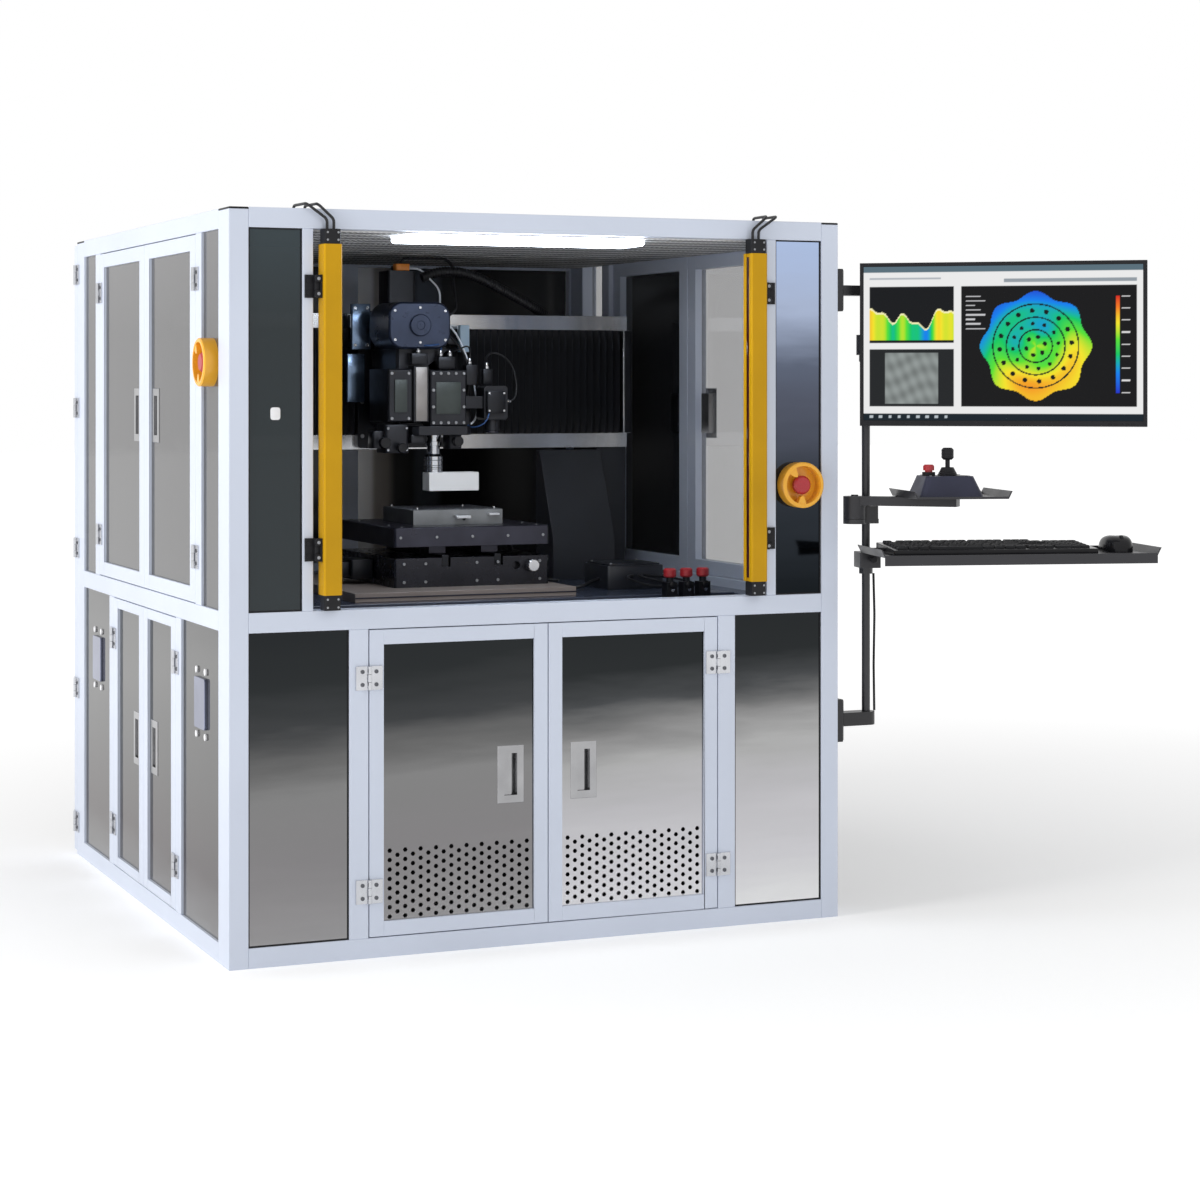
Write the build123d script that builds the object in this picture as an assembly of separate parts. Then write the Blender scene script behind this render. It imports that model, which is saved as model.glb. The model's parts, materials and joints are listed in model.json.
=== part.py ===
from build123d import *
import math
import os

# A free-standing optical profiler: a bar-framed cabinet with a measuring chamber above,
# a service bay below and an operator station on its right-hand front post.
# Millimetres. The origin is the middle of the frame's footprint on the floor, +Z is up,
# the open front faces -Y and +X is to the right of a person standing in front of it.

# Cabinet frame
cabinet_width = 1350.0
cabinet_depth = 1420.0
cabinet_height = 1500.0
bar = 40.0
corner_post_depth = 80.0
side_post = 45.0
front_post = 40.0
front_stile = 22.0
middle_rail_bottom = 660.0
door_opening_half = 388.0
mouth_half = 503.0
post_cap = 4.0

# Clearances
seat_gap = 0.3
door_gap = 1.0
running_gap = 0.1

# Sheets and panels
panel_setback = 6.0
acrylic = 5.0
steel_sheet = 2.0
roof_sheet = 3.0
roof_drop = 8.0
deck_top = 680.0
deck_sheet = 4.0

# Door leaves
leaf_thickness = 28.0
front_leaf_stile = 30.0
front_leaf_rail = 30.0
upper_leaf_width = 450.0
upper_leaf_stile = 45.0
upper_leaf_rail = 32.0
upper_pair_centre = 3.0
lower_leaf_width = 292.0
lower_leaf_stile = 40.0
lower_leaf_rail = 22.0
lower_pair_centre = 12.0
rear_leaf_thickness = 29.0
rear_leaf_stile = 45.0
rear_floor_gap = 8.0

# Perforated zone of the front doors
hole_diameter = 10.0
hole_pitch = 19.0
hole_columns = 19
hole_rows = 8
lowest_row = 79.0
hole_sides = 6

# Hinges
hinge_height = 48.0
hinge_reach = 28.0
hinge_plate = 3.0
knuckle_radius = 4.5
knuckle_sides = 8
front_hinge_levels = (134.0, 562.0)
lower_hinge_levels = (136.0, 565.0)
upper_hinge_levels = (797.0, 1367.0)
rear_hinge_levels = (80.0, 408.0, 751.0, 1094.0, 1420.0)

# Recessed pulls
pull_width = 58.0
pull_height = 118.0
pull_flange = 1.5
pull_mouth_width = 28.0
pull_mouth_height = 86.0
pull_cup_width = 40.0
pull_cup_height = 94.0
pull_depth = 16.0
pull_wall = 1.5
pull_lip_width = 17.0
pull_lip_drop = 3.0
front_pull_offset = 81.0
front_pull_level = 351.0
side_pull_inset = 40.0
upper_pull_level = 1083.0
lower_pull_level = 358.0

# Utility covers on the lower side panels
cover_width = 84.0
cover_height = 104.0
cover_thickness = 6.0
stud_radius = 7.0
stud_height = 4.0
stud_margin = 14.0
cover_level = 500.0

# Measuring chamber
slab_side_gap = 60.0
slab_front = -410.0
slab_rear = 440.0
slab_rise = 4.0
slab_thickness = 144.0
slab_clearance = 8.0
isolator_radius = 70.0
isolator_height = 200.0
isolator_leg = 120.0
isolator_inset_x = 105.0
isolator_offset_y = 320.0

# Bridge that carries the measuring head
bridge_front = 190.0
bridge_depth = 150.0
bridge_inset = 10.0
bridge_bottom = 998.0
bridge_top = 1318.0
bridge_rail_height = 35.0
bridge_rail_depth = 12.0
column_width = 75.0
bellows_depth = 34.0
bellows_sheet = 2.5
bellows_folds = 20
bellows_end = 20.0
cover_span = 160.0

# Measuring head
head_x = -23.0
carriage_half = 110.0
carriage_plate = 22.0
z_slide_gap = 12.0
head_plate = 16.0
head_bottom = 1036.0
head_top = 1300.0
objective_x = -27.0
objective_y = -75.0
nose_thickness = 20.0
tube_radius = 15.0
tube_length = 43.0
barrel_radius = 21.0
barrel_length = 42.0
arm_block_width = 120.0
arm_block_height = 42.0
arm_block_depth = 46.0
motor_width = 70.0
motor_headroom = 37.0
head_lead = 5.0
head_hose = 7.0

# Sample stage
stage_half_width = 182.0
stage_front = -260.0
stage_rear = 140.0
sub_plate_left = -307.0
sub_plate_right = 204.0
sub_plate_front = -368.0
sub_plate_rear = 240.0
sub_plate = 20.0
stage_block = 64.0
stage_opening = 25.0
stage_top_plate = 43.0
stage_edge = 4.0
guide_offset = 62.0
guide_slot = 20.0
guide_width = 15.0
guide_height = 26.0
guide_block_length = 60.0
guide_block_width = 40.0
chuck_size = 213.0
chuck_thickness = 34.0
chuck_y = -60.0
port_radius = 3.5
knob_radius = 14.0
knob_length = 20.0
knob_x = 138.0
knob_level = 43.0

# Safety light curtain
curtain_width = 38.0
curtain_depth = 40.0
curtain_x = 471.0
curtain_front = 31.0
curtain_bottom = 732.0
curtain_top_gap = 31.0
curtain_cap = 30.0
curtain_groove = 14.0
bracket_height = 46.0
bracket_plate = 4.0
bracket_levels = (822.0, 1345.0)
signal_cable = 6.0
cable_sides = 6

# Emergency stops
shroud_radius = 49.0
shroud_wall = 8.0
shroud_depth = 30.0
shroud_floor = 3.0
finger_width = 22.0
finger_tip = 9.0
finger_depth = 14.0
finger_clearance = 2.5
button_radius = 20.0
button_neck = 11.0
button_height = 26.0
button_cap = 12.0
stem_beyond = 8.0
front_stop_x = 580.0
front_stop_z = 935.0
side_stop_y = -562.0
side_stop_z = 1195.0

# Operator station
mast_x = 760.0
mast_y = -680.0
mast_radius = 9.0
mast_cable = 6.0
wall_plate = 16.0
wall_plate_width = 60.0
wall_plate_height = 92.0
lower_bracket_z = 423.0
upper_bracket_z = 1355.0
bracket_arm_width = 38.0
lower_arm_height = 29.0
upper_arm_height = 22.0
station_yaw = -14.0
monitor_yaw = -38.0
monitor_width = 611.0
monitor_height = 352.0
monitor_panel = 14.0
monitor_back = 24.0
monitor_centre = 1237.0
monitor_reach = 302.0
monitor_standoff = 60.0
vesa_plate = 110.0
tilt_radius = 12.0
tilt_pin = 5.0
joystick_pivot_x = -31.0
joystick_pivot_y = 22.0
joystick_arm_top = 908.0
joystick_arm_height = 20.0
joystick_arm_width = 36.0
joystick_hub_radius = 25.0
joystick_hub_height = 50.0
pivot_pin_radius = 8.0
joystick_tray_size = 200.0
joystick_tray_s = 153.0
joystick_tray_t = 125.0
tray_sheet = 3.0
tray_rim = 14.0
tray_lip = 20.0
keyboard_tray_width = 600.0
keyboard_tray_depth = 200.0
keyboard_tray_s = 280.0
keyboard_tray_t = 135.0
keyboard_tray_top = 789.0
keyboard_width = 450.0
keyboard_depth = 150.0
keyboard_height = 20.0
keyboard_s = 233.0
mouse_s = 523.0
mouse_length = 108.0
mouse_width = 62.0
mouse_height = 36.0
stick_ball_radius = 7.0
clamp_size = 46.0
clamp_height = 34.0

# Worked out from the sizes above
half_w = cabinet_width / 2
half_d = cabinet_depth / 2
inner_w = half_w - bar
inner_d = half_d - bar
middle_rail_top = middle_rail_bottom + bar
top_rail_bottom = cabinet_height - bar
seam_half = door_gap
slab_half_width = inner_w - slab_side_gap
slab_top = deck_top + slab_rise
isolator_offset_x = slab_half_width - isolator_inset_x
bridge_half = slab_half_width - bridge_inset
curtain_top = top_rail_bottom - curtain_top_gap
motor_top = top_rail_bottom - roof_sheet - motor_headroom

# Walls seen from outside: local x runs to the right, -y comes out, z is up
front_wall = Location((0, -half_d, 0))
left_wall = Location((-half_w, 0, 0), (0, 0, -90))
right_wall = Location((half_w, 0, 0), (0, 0, 90))
rear_wall = Location((0, half_d, 0), (0, 0, 180))

nodes = {}


def block(x0, x1, y0, y1, z0, z1):
    """A straight-sided block between two corners."""
    centre = Pos((x0 + x1) / 2, (y0 + y1) / 2, (z0 + z1) / 2)
    return centre * Box(x1 - x0, y1 - y0, z1 - z0)


def rod(x, y, z0, z1, radius):
    """A round upright rod."""
    return Pos(x, y, (z0 + z1) / 2) * Cylinder(radius, z1 - z0)


def add(name, *pieces):
    """Puts solids into a named node."""
    nodes.setdefault(name, []).extend(pieces)


# Cabinet frame
def corner_posts():
    """Four double-depth posts, each one straight bar from the floor to its cap."""
    for sx in (-1, 1):
        for sy in (-1, 1):
            x0, x1 = sorted((sx * inner_w, sx * half_w))
            y0, y1 = sorted((sy * (half_d - corner_post_depth), sy * half_d))
            add("corner_posts", block(x0, x1, y0, y1, 0, cabinet_height - post_cap))
            cap = block(x0, x1, y0, y1, cabinet_height - post_cap, cabinet_height)
            add("post_caps", chamfer(cap.faces().sort_by(Axis.Z)[-1].edges(), post_cap / 3))


def frame_rails():
    """Horizontal bars at the floor, below the chamber and at the roof, on all four sides."""
    side_half = half_d - corner_post_depth
    for z0 in (0, middle_rail_bottom, top_rail_bottom):
        z1 = z0 + bar
        for sy in (-1, 1):
            y0, y1 = sorted((sy * inner_d, sy * half_d))
            add("frame_rails", block(-inner_w, inner_w, y0, y1, z0, z1))
        for sx in (-1, 1):
            x0, x1 = sorted((sx * inner_w, sx * half_w))
            add("frame_rails", block(x0, x1, -side_half, side_half, z0, z1))


def upper_span():
    """Local x of the outer edges of an upper pair of side leaves."""
    reach = upper_leaf_width + seam_half
    return upper_pair_centre - reach, upper_pair_centre + reach


def lower_span():
    """Local x of the outer edges of a lower pair of side leaves."""
    reach = lower_leaf_width + seam_half
    return lower_pair_centre - reach, lower_pair_centre + reach


def frame_posts():
    """Intermediate posts: two beside the front doors, two stiles beside the chamber's
    mouth, and one on each side of each pair of side leaves."""
    for sx in (-1, 1):
        x0, x1 = sorted((sx * door_opening_half, sx * (door_opening_half + front_post)))
        lower = block(x0, x1, -half_d, -inner_d, bar, middle_rail_bottom)
        x0, x1 = sorted((sx * mouth_half, sx * (mouth_half + front_stile)))
        upper = block(x0, x1, -half_d, -inner_d, middle_rail_top, top_rail_bottom)
        add("frame_rails", lower, upper)
        x0, x1 = sorted((sx * inner_w, sx * half_w))
        bands = (
            (upper_span(), middle_rail_top, top_rail_bottom),
            (lower_span(), bar, middle_rail_bottom),
        )
        for (near, far), z0, z1 in bands:
            front_edge = near - door_gap
            rear_edge = far + door_gap
            add("frame_rails", block(x0, x1, front_edge - side_post, front_edge, z0, z1))
            add("frame_rails", block(x0, x1, rear_edge, rear_edge + side_post, z0, z1))


def fixed_panels():
    """Panels that fill the frame beside the doors: smoked acrylic above, steel below."""
    z_upper = (middle_rail_top, top_rail_bottom)
    z_lower = (bar, middle_rail_bottom)
    for sx in (-1, 1):
        x0, x1 = sorted((sx * (mouth_half + front_stile), sx * inner_w))
        y0 = -half_d + panel_setback
        pane = block(x0, x1, y0, y0 + acrylic, *z_upper)
        if sx > 0:
            hole = Rot(90, 0, 0) * Cylinder(button_neck + 0.5, 4 * acrylic)
            pane -= Pos(front_stop_x, y0, front_stop_z) * hole
        add("fixed_acrylic_panels", pane)
        x0, x1 = sorted((sx * (door_opening_half + front_post), sx * inner_w))
        add("fixed_steel_panels", block(x0, x1, y0, y0 + steel_sheet, *z_lower))
        side_half = half_d - corner_post_depth
        for node, span, sheet, levels in (
            ("fixed_acrylic_panels", upper_span(), acrylic, z_upper),
            ("fixed_steel_panels", lower_span(), steel_sheet, z_lower),
        ):
            edge = door_gap + side_post
            x_out = half_w - panel_setback
            x0, x1 = sorted((sx * x_out, sx * (x_out - sheet)))
            pane = block(x0, x1, -side_half, span[0] - edge, *levels)
            if sx < 0 and sheet == acrylic:
                hole = Rot(0, 90, 0) * Cylinder(button_neck + 0.5, 4 * acrylic)
                pane -= Pos(-x_out, side_stop_y, side_stop_z) * hole
            add(node, pane)
            add(node, block(x0, x1, span[1] + edge, side_half, *levels))


def right_lower_panels():
    """The right side has no doors in its lower bay: a post parts two fixed steel panels."""
    x0, x1 = inner_w, half_w
    low, high = lower_span()[0] - door_gap, lower_span()[1] + door_gap
    y0, y1 = lower_pair_centre - side_post / 2, lower_pair_centre + side_post / 2
    add("frame_rails", block(x0, x1, y0, y1, bar, middle_rail_bottom))
    x_out = half_w - panel_setback
    for a, b in ((low, y0), (y1, high)):
        pane = block(x_out - steel_sheet, x_out, a, b, bar, middle_rail_bottom)
        add("fixed_steel_panels", pane)


def sheets():
    """The roof, the floor pan and the deck with its cut-out round the isolated slab."""
    z = cabinet_height - roof_drop
    add("roof_panel", block(-inner_w, inner_w, -inner_d, inner_d, z - roof_sheet, z))
    add("base_pan", block(-inner_w, inner_w, -inner_d, inner_d, 0, roof_sheet))
    deck = block(-inner_w, inner_w, -inner_d, inner_d, deck_top - deck_sheet, deck_top)
    opening = block(
        -slab_half_width - slab_clearance,
        slab_half_width + slab_clearance,
        slab_front - slab_clearance,
        slab_rear + slab_clearance,
        deck_top - 2 * deck_sheet,
        deck_top + deck_sheet,
    )
    add("deck_plate", deck - opening)


def ceiling():
    """The perforated ceiling sheet with its rows of slots, and the lamp under it."""
    z1 = top_rail_bottom
    z0 = z1 - roof_sheet
    reach = inner_w - seat_gap
    sheet = block(-reach, reach, -inner_d + seat_gap, inner_d - seat_gap, z0, z1)
    outline = [(-30, 0), (-26, -6), (26, -6), (30, 0), (26, 6), (-26, 6)]
    slot = make_face(Polyline(*outline, close=True))
    slots = Sketch() + [
        Pos(x, y) * slot
        for y in (-380, -320, -260, 20, 80, 140, 360, 420)
        for x in range(-500, 501, 100)
    ]
    sheet -= Pos(0, 0, z0 - 1) * extrude(slots, roof_sheet + 2)
    add("ceiling_grille", sheet)
    lamp = block(-285, 238, -inner_d + 6, -inner_d + 126, z0 - 14, z0)
    add("ceiling_light", chamfer(lamp.faces().sort_by(Axis.Z)[0].edges(), 4))


# Hinges and pulls, in a wall's own local frame
def knuckle(x, z0, z1):
    """One barrel of a butt hinge, standing proud of the faces that it joins."""
    barrel = extrude(RegularPolygon(knuckle_radius, knuckle_sides), z1 - z0)
    return Pos(x, -knuckle_radius - seat_gap, z0) * barrel


def hinge_leaf(x, level, side, moving, surface=0.0):
    """One leaf of a butt hinge whose pin is at x. side is +1 or -1 along the wall.
    The moving leaf has the middle barrel and the fixed leaf the two outer ones."""
    third = hinge_height / 3
    z0 = level - hinge_height / 2
    inner = knuckle_radius + 0.5
    a, b = sorted((x + side * inner, x + side * hinge_reach))
    piece = block(a, b, surface - hinge_plate, surface, z0, z0 + hinge_height)
    spans = ((1, 2),) if moving else ((0, 1), (2, 3))
    for low, high in spans:
        low_z = z0 + low * third + seat_gap
        high_z = z0 + high * third - seat_gap
        a, b = sorted((x, x + side * (inner + 1)))
        web = block(a, b, surface - hinge_plate, surface - seat_gap, low_z, high_z)
        piece = piece + knuckle(x, low_z, high_z) + web
    return piece


def recessed_pull(x, z):
    """A pressed steel pull: a flat flange, a cup behind it and a rolled lip across the
    left of its mouth, so that fingers hook in on the right."""
    face = panel_setback
    flange = block(
        x - pull_width / 2,
        x + pull_width / 2,
        face - pull_flange,
        face,
        z - pull_height / 2,
        z + pull_height / 2,
    )
    flange = chamfer(flange.faces().sort_by(Axis.Y)[0].edges(), pull_flange / 2)
    cup = block(
        x - pull_cup_width / 2,
        x + pull_cup_width / 2,
        face - pull_flange / 2,
        face + pull_depth,
        z - pull_cup_height / 2,
        z + pull_cup_height / 2,
    )
    hollow = block(
        x - pull_cup_width / 2 + pull_wall,
        x + pull_cup_width / 2 - pull_wall,
        face,
        face + pull_depth - pull_wall,
        z - pull_cup_height / 2 + pull_wall,
        z + pull_cup_height / 2 - pull_wall,
    )
    mouth = block(
        x - pull_mouth_width / 2,
        x + pull_mouth_width / 2,
        face - 2 * pull_flange,
        face + pull_wall,
        z - pull_mouth_height / 2,
        z + pull_mouth_height / 2,
    )
    lip = block(
        x - pull_cup_width / 2 + pull_wall / 2,
        x - pull_mouth_width / 2 + pull_lip_width,
        face + pull_lip_drop,
        face + pull_lip_drop + pull_wall,
        z - pull_cup_height / 2 + pull_wall / 2,
        z + pull_cup_height / 2 - pull_wall / 2,
    )
    return (flange + cup) - hollow - mouth + lip


def panel_cutout(x, z, depth):
    """The hole that a recessed pull's cup passes through."""
    half_w_cut = pull_cup_width / 2 + 0.5
    half_h_cut = pull_cup_height / 2 + 0.5
    return block(x - half_w_cut, x + half_w_cut, -1, depth, z - half_h_cut, z + half_h_cut)


def leaf_bars(x0, x1, z0, z1, stile, rail, y0=0.0, thickness=leaf_thickness):
    """The four bars of a door leaf: full-height stiles with the rails between them."""
    y1 = y0 + thickness
    return [
        block(x0, x0 + stile, y0, y1, z0, z1),
        block(x1 - stile, x1, y0, y1, z0, z1),
        block(x0 + stile, x1 - stile, y0, y1, z0, z0 + rail),
        block(x0 + stile, x1 - stile, y0, y1, z1 - rail, z1),
    ]


def perforated_zone(x_centre):
    """Staggered holes in the lower part of a front door, at 60 degrees."""
    column_pitch = hole_pitch * math.sin(math.radians(60))
    points = []
    for column in range(hole_columns):
        x = x_centre + (column - (hole_columns - 1) / 2) * column_pitch
        odd = column % 2
        for row in range(hole_rows - odd):
            points.append((x, lowest_row + (row + odd / 2) * hole_pitch))
    return points


def front_doors():
    """Two leaves that meet in the middle, each with a perforated polished panel."""
    z0 = bar + 2 * door_gap
    z1 = middle_rail_bottom - 2 * door_gap
    for name, sx in (("front_left_door", -1), ("front_right_door", 1)):
        hinge_x = sx * (door_opening_half - door_gap)
        x0, x1 = sorted((sx * door_gap, hinge_x - sx * door_gap))
        bars = leaf_bars(x0, x1, z0, z1, front_leaf_stile, front_leaf_rail)
        add(name, *[front_wall * b for b in bars])
        px0, px1 = x0 + front_leaf_stile, x1 - front_leaf_stile
        pz0, pz1 = z0 + front_leaf_rail, z1 - front_leaf_rail
        centre = (px0 + px1) / 2
        face = Pos((px0 + px1) / 2, (pz0 + pz1) / 2) * Rectangle(px1 - px0, pz1 - pz0)
        hole = RegularPolygon(hole_diameter / 2, hole_sides)
        face -= [Pos(x, z) * hole for x, z in perforated_zone(centre)]
        sheet = Rot(90, 0, 0) * extrude(face, -steel_sheet)
        sheet = Pos(0, panel_setback, 0) * sheet
        pull_x = sx * front_pull_offset
        sheet -= panel_cutout(pull_x, front_pull_level, panel_setback + steel_sheet + 1)
        add(name + "_panel", front_wall * sheet)
        add(name + "_panel", front_wall * recessed_pull(pull_x, front_pull_level))
        for level in front_hinge_levels:
            add(name, front_wall * hinge_leaf(hinge_x, level, -sx, True))
            add("hinge_leaves", front_wall * hinge_leaf(hinge_x, level, sx, False))


def side_leaf(wall, hinge_x, inward, width, levels, stile, rail, sheet, hinges, pull_z):
    """One side leaf in wall coordinates. inward is the direction from its hinge to its
    free edge. Returns its bars with hinge leaves, its panel, its pull and fixed leaves."""
    start = hinge_x + inward * door_gap
    x0, x1 = sorted((start, start + inward * width))
    z0 = levels[0] + 2 * door_gap
    z1 = levels[1] - 2 * door_gap
    solids = leaf_bars(x0, x1, z0, z1, stile, rail)
    solids += [hinge_leaf(hinge_x, level, inward, True) for level in hinges]
    fixed = [hinge_leaf(hinge_x, level, -inward, False) for level in hinges]
    free_edge = hinge_x + inward * (width - stile)
    pull_x = free_edge - inward * side_pull_inset
    panel = block(
        x0 + stile,
        x1 - stile,
        panel_setback,
        panel_setback + sheet,
        z0 + rail,
        z1 - rail,
    )
    panel -= panel_cutout(pull_x, pull_z, panel_setback + sheet + 1)
    pull = recessed_pull(pull_x, pull_z)
    return (
        [wall * s for s in solids],
        wall * panel,
        wall * pull,
        [wall * s for s in fixed],
    )


def side_doors():
    """Pairs of leaves: smoked acrylic above on both sides, steel below on the left.
    Local x runs towards the front on the left wall and to the rear on the right wall."""
    upper = (upper_leaf_width, (middle_rail_top, top_rail_bottom))
    upper_style = (upper_leaf_stile, upper_leaf_rail, acrylic)
    lower = (lower_leaf_width, (bar, middle_rail_bottom))
    lower_style = (lower_leaf_stile, lower_leaf_rail, steel_sheet)
    specs = []
    for sign, wall, side in ((-1, left_wall, "left"), (1, right_wall, "right")):
        near, far = (sign * (e + d) for e, d in zip(upper_span(), (-door_gap, door_gap)))
        rest = (upper_hinge_levels, upper_pull_level)
        specs.append((f"{side}_upper_front_door", wall, near, sign, upper, upper_style, rest))
        specs.append((f"{side}_upper_rear_door", wall, far, -sign, upper, upper_style, rest))
    near, far = (-(e + d) for e, d in zip(lower_span(), (-door_gap, door_gap)))
    rest = (lower_hinge_levels, lower_pull_level)
    specs.append(("left_lower_front_door", left_wall, near, -1, lower, lower_style, rest))
    specs.append(("left_lower_rear_door", left_wall, far, 1, lower, lower_style, rest))
    for name, wall, hinge_x, inward, (width, levels), style, (hinges, pull_z) in specs:
        stile, rail, sheet = style
        bars, panel, pull, fixed = side_leaf(
            wall, hinge_x, inward, width, levels, stile, rail, sheet, hinges, pull_z
        )
        one_node = not name.startswith("left_upper")
        add(name, *bars)
        add(name if one_node else name + "_panel", panel)
        add(name if one_node else name + "_panel", pull)
        add("hinge_leaves", *fixed)


def rear_doors():
    """Two full-height framed steel leaves that lie over the back of the frame."""
    z0 = rear_floor_gap
    z1 = cabinet_height - rear_floor_gap
    y1 = -door_gap
    y0 = y1 - rear_leaf_thickness
    for name, sx in (("rear_right_door", -1), ("rear_left_door", 1)):
        x0, x1 = sorted((sx * door_gap, sx * half_w))
        bars = leaf_bars(x0, x1, z0, z1, rear_leaf_stile, bar, y0, rear_leaf_thickness)
        inner = (x0 + rear_leaf_stile, x1 - rear_leaf_stile)
        sheet = block(
            *inner,
            y0 + panel_setback,
            y0 + panel_setback + steel_sheet,
            z0 + bar,
            z1 - bar,
        )
        pull_x = sx * (door_gap + rear_leaf_stile + side_pull_inset)
        shift = Pos(0, y0, 0)
        hole = shift * panel_cutout(pull_x, upper_pull_level, panel_setback + 4)
        pull = shift * recessed_pull(pull_x, upper_pull_level)
        add(name, *[rear_wall * s for s in (*bars, sheet - hole, pull)])


def rear_hinges():
    """Five hinges a side, wrapped on the side faces, their pins at the frame's corner."""
    for sx, wall, door in ((-1, left_wall, "rear_left_door"), (1, right_wall, "rear_right_door")):
        pin = sx * (half_d + door_gap / 2)
        for level in rear_hinge_levels:
            add("hinge_leaves", wall * hinge_leaf(pin, level, -sx, False))
            add(door, wall * hinge_leaf(pin, level, sx, True))


def utility_covers():
    """A raised cover held by four round studs on each lower fixed side panel at the left."""
    face = panel_setback
    side_half = half_d - corner_post_depth
    edge = door_gap + side_post
    spans = ((-side_half, lower_span()[0] - edge), (lower_span()[1] + edge, side_half))
    for low, high in spans:
        x = -(low + high) / 2
        plate = block(
            x - cover_width / 2,
            x + cover_width / 2,
            face - cover_thickness,
            face,
            cover_level - cover_height / 2,
            cover_level + cover_height / 2,
        )
        plate = fillet(plate.edges().filter_by(Axis.Y), 6)
        add("utility_covers", left_wall * plate)
        for sx in (-1, 1):
            for sz in (-1, 1):
                stud = Rot(90, 0, 0) * Cylinder(stud_radius, stud_height)
                sx_pos = x + sx * (cover_width / 2 - stud_margin / 2)
                sz_pos = cover_level + sz * (cover_height / 2 + stud_margin)
                stud = Pos(sx_pos, face - stud_height / 2, sz_pos) * stud
                add("utility_covers", left_wall * stud)


# Base of the instrument
def base():
    """The isolated slab on four air isolators, each on its leg, and the electronics."""
    z1 = slab_top
    z0 = z1 - slab_thickness
    slab = block(-slab_half_width, slab_half_width, slab_front, slab_rear, z0, z1)
    slab = chamfer(slab.edges().filter_by(Axis.Z), 6)
    add("base_slab", slab)
    y_mid = (slab_front + slab_rear) / 2
    leg_top = z0 - isolator_height
    for sx in (-1, 1):
        for sy in (-1, 1):
            x = sx * isolator_offset_x
            y = y_mid + sy * isolator_offset_y
            half = isolator_leg / 2
            add("isolators", rod(x, y, leg_top, z0, isolator_radius))
            add("isolators", block(x - half, x + half, y - half, y + half, roof_sheet, leg_top))
    case = block(-330, 330, -150, 330, roof_sheet, 420)
    fascia = block(-322, 322, -156, -150, roof_sheet + 8, 412)
    vents = [block(-280, -120, -158, -149, z, z + 6) for z in range(330, 391, 15)]
    hollow = block(-326, 326, -146, 326, 0, 416)
    add("control_cabinet", case - hollow, fascia - vents)


def bridge():
    """A beam on two columns, with the bright rails that carry the head's carriage."""
    y0 = bridge_front
    y1 = y0 + bridge_depth
    low = bridge_bottom + bridge_rail_height / 4
    high = bridge_top - bridge_rail_height / 4
    add("bridge_beam", block(-bridge_half, bridge_half, y0, y1, low, high))
    for sx in (-1, 1):
        x0, x1 = sorted((sx * (bridge_half - column_width), sx * bridge_half))
        add("bridge_beam", block(x0, x1, y0, y1, slab_top, low))
        for z0, z1 in (
            (bridge_bottom, bridge_bottom + bridge_rail_height),
            (bridge_top - bridge_rail_height, bridge_top),
        ):
            if sx > 0:
                rail = block(-bridge_half, bridge_half, y0 - bridge_rail_depth, y0, z0, z1)
                add("bridge_rails", rail)
    inner = bridge_half - column_width
    with_slope = Polyline(
        (y0 - 110, slab_top + 100),
        (y0 - 20, low - 14),
        (y0, low - 14),
        (y0, slab_top),
        (y0 - 110, slab_top),
        close=True,
    )
    cover = extrude(Plane.YZ * make_face(with_slope), cover_span)
    add("bridge_beam", Pos(inner - cover_span, 0, 0) * cover)


def bellows():
    """Pleated way covers from the ends of the bridge to the head's carriage."""
    z0 = bridge_bottom + bridge_rail_height + 1
    z1 = bridge_top - bridge_rail_height - 1
    y1 = bridge_front - 1
    y0 = y1 - bellows_depth
    ends = (
        ("bellows_left", -bridge_half + bellows_end, head_x - carriage_half - seat_gap),
        ("bellows_right", head_x + carriage_half + seat_gap, bridge_half - bellows_end),
    )
    for name, x0, x1 in ends:
        step = (x1 - x0) / (2 * bellows_folds)
        front, back = [], []
        for i in range(2 * bellows_folds + 1):
            y = y0 if i % 2 else y1 - bellows_sheet
            front.append((x0 + i * step, y))
            back.append((x0 + i * step, y + bellows_sheet))
        outline = make_face(Polyline(*front, *reversed(back), close=True))
        add(name, Pos(0, 0, z0) * extrude(outline, z1 - z0))
    for sx in (-1, 1):
        x0, x1 = sorted((sx * (bridge_half - bellows_end), sx * bridge_half))
        add("bridge_rails", block(x0, x1, y0, bridge_front, z0 - 1, z1 + 1))


# Measuring head
plate_rear = bridge_front - bridge_rail_depth - seat_gap
plate_front = plate_rear - carriage_plate
guide_front = plate_front - z_slide_gap
slide_rear = guide_front - seat_gap
slide_front = slide_rear - head_plate


def x_carriage():
    """The carriage that runs along the bridge, with the focus drive and its motor."""
    x0, x1 = head_x - carriage_half, head_x + carriage_half
    plate_top = bridge_top + 6
    plate = block(x0, x1, plate_front, plate_rear, bridge_bottom + 4, plate_top)
    plate = fillet(plate.edges().filter_by(Axis.Y), 8)
    truck = block(
        x0 + 30,
        x1 - 30,
        plate_rear,
        bridge_front - seat_gap,
        bridge_bottom + bridge_rail_height + 6,
        bridge_top - bridge_rail_height - 6,
    )
    add("x_carriage", plate, truck)
    for sx in (-1, 1):
        x = head_x + sx * 55
        add("x_carriage", block(x - 10, x + 10, guide_front, plate_front, 1020, 1300))
    x0, x1 = head_x - motor_width / 2, head_x + motor_width / 2
    motor = block(x0, x1, plate_front + 4, plate_rear + 54, plate_top, motor_top)
    motor = fillet(motor.edges().filter_by(Axis.Z), 8)
    plug = block(head_x - 14, head_x + 22, plate_front + 12, plate_front + 42, motor_top, motor_top + 12)
    add("x_carriage", motor, plug)
    x0 = head_x + carriage_half - 34
    socket = block(x0, x0 + 28, plate_front - 22, plate_front, 1240, 1290)
    add("x_carriage", chamfer(socket.faces().sort_by(Axis.Y)[0].edges(), 3))


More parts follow.
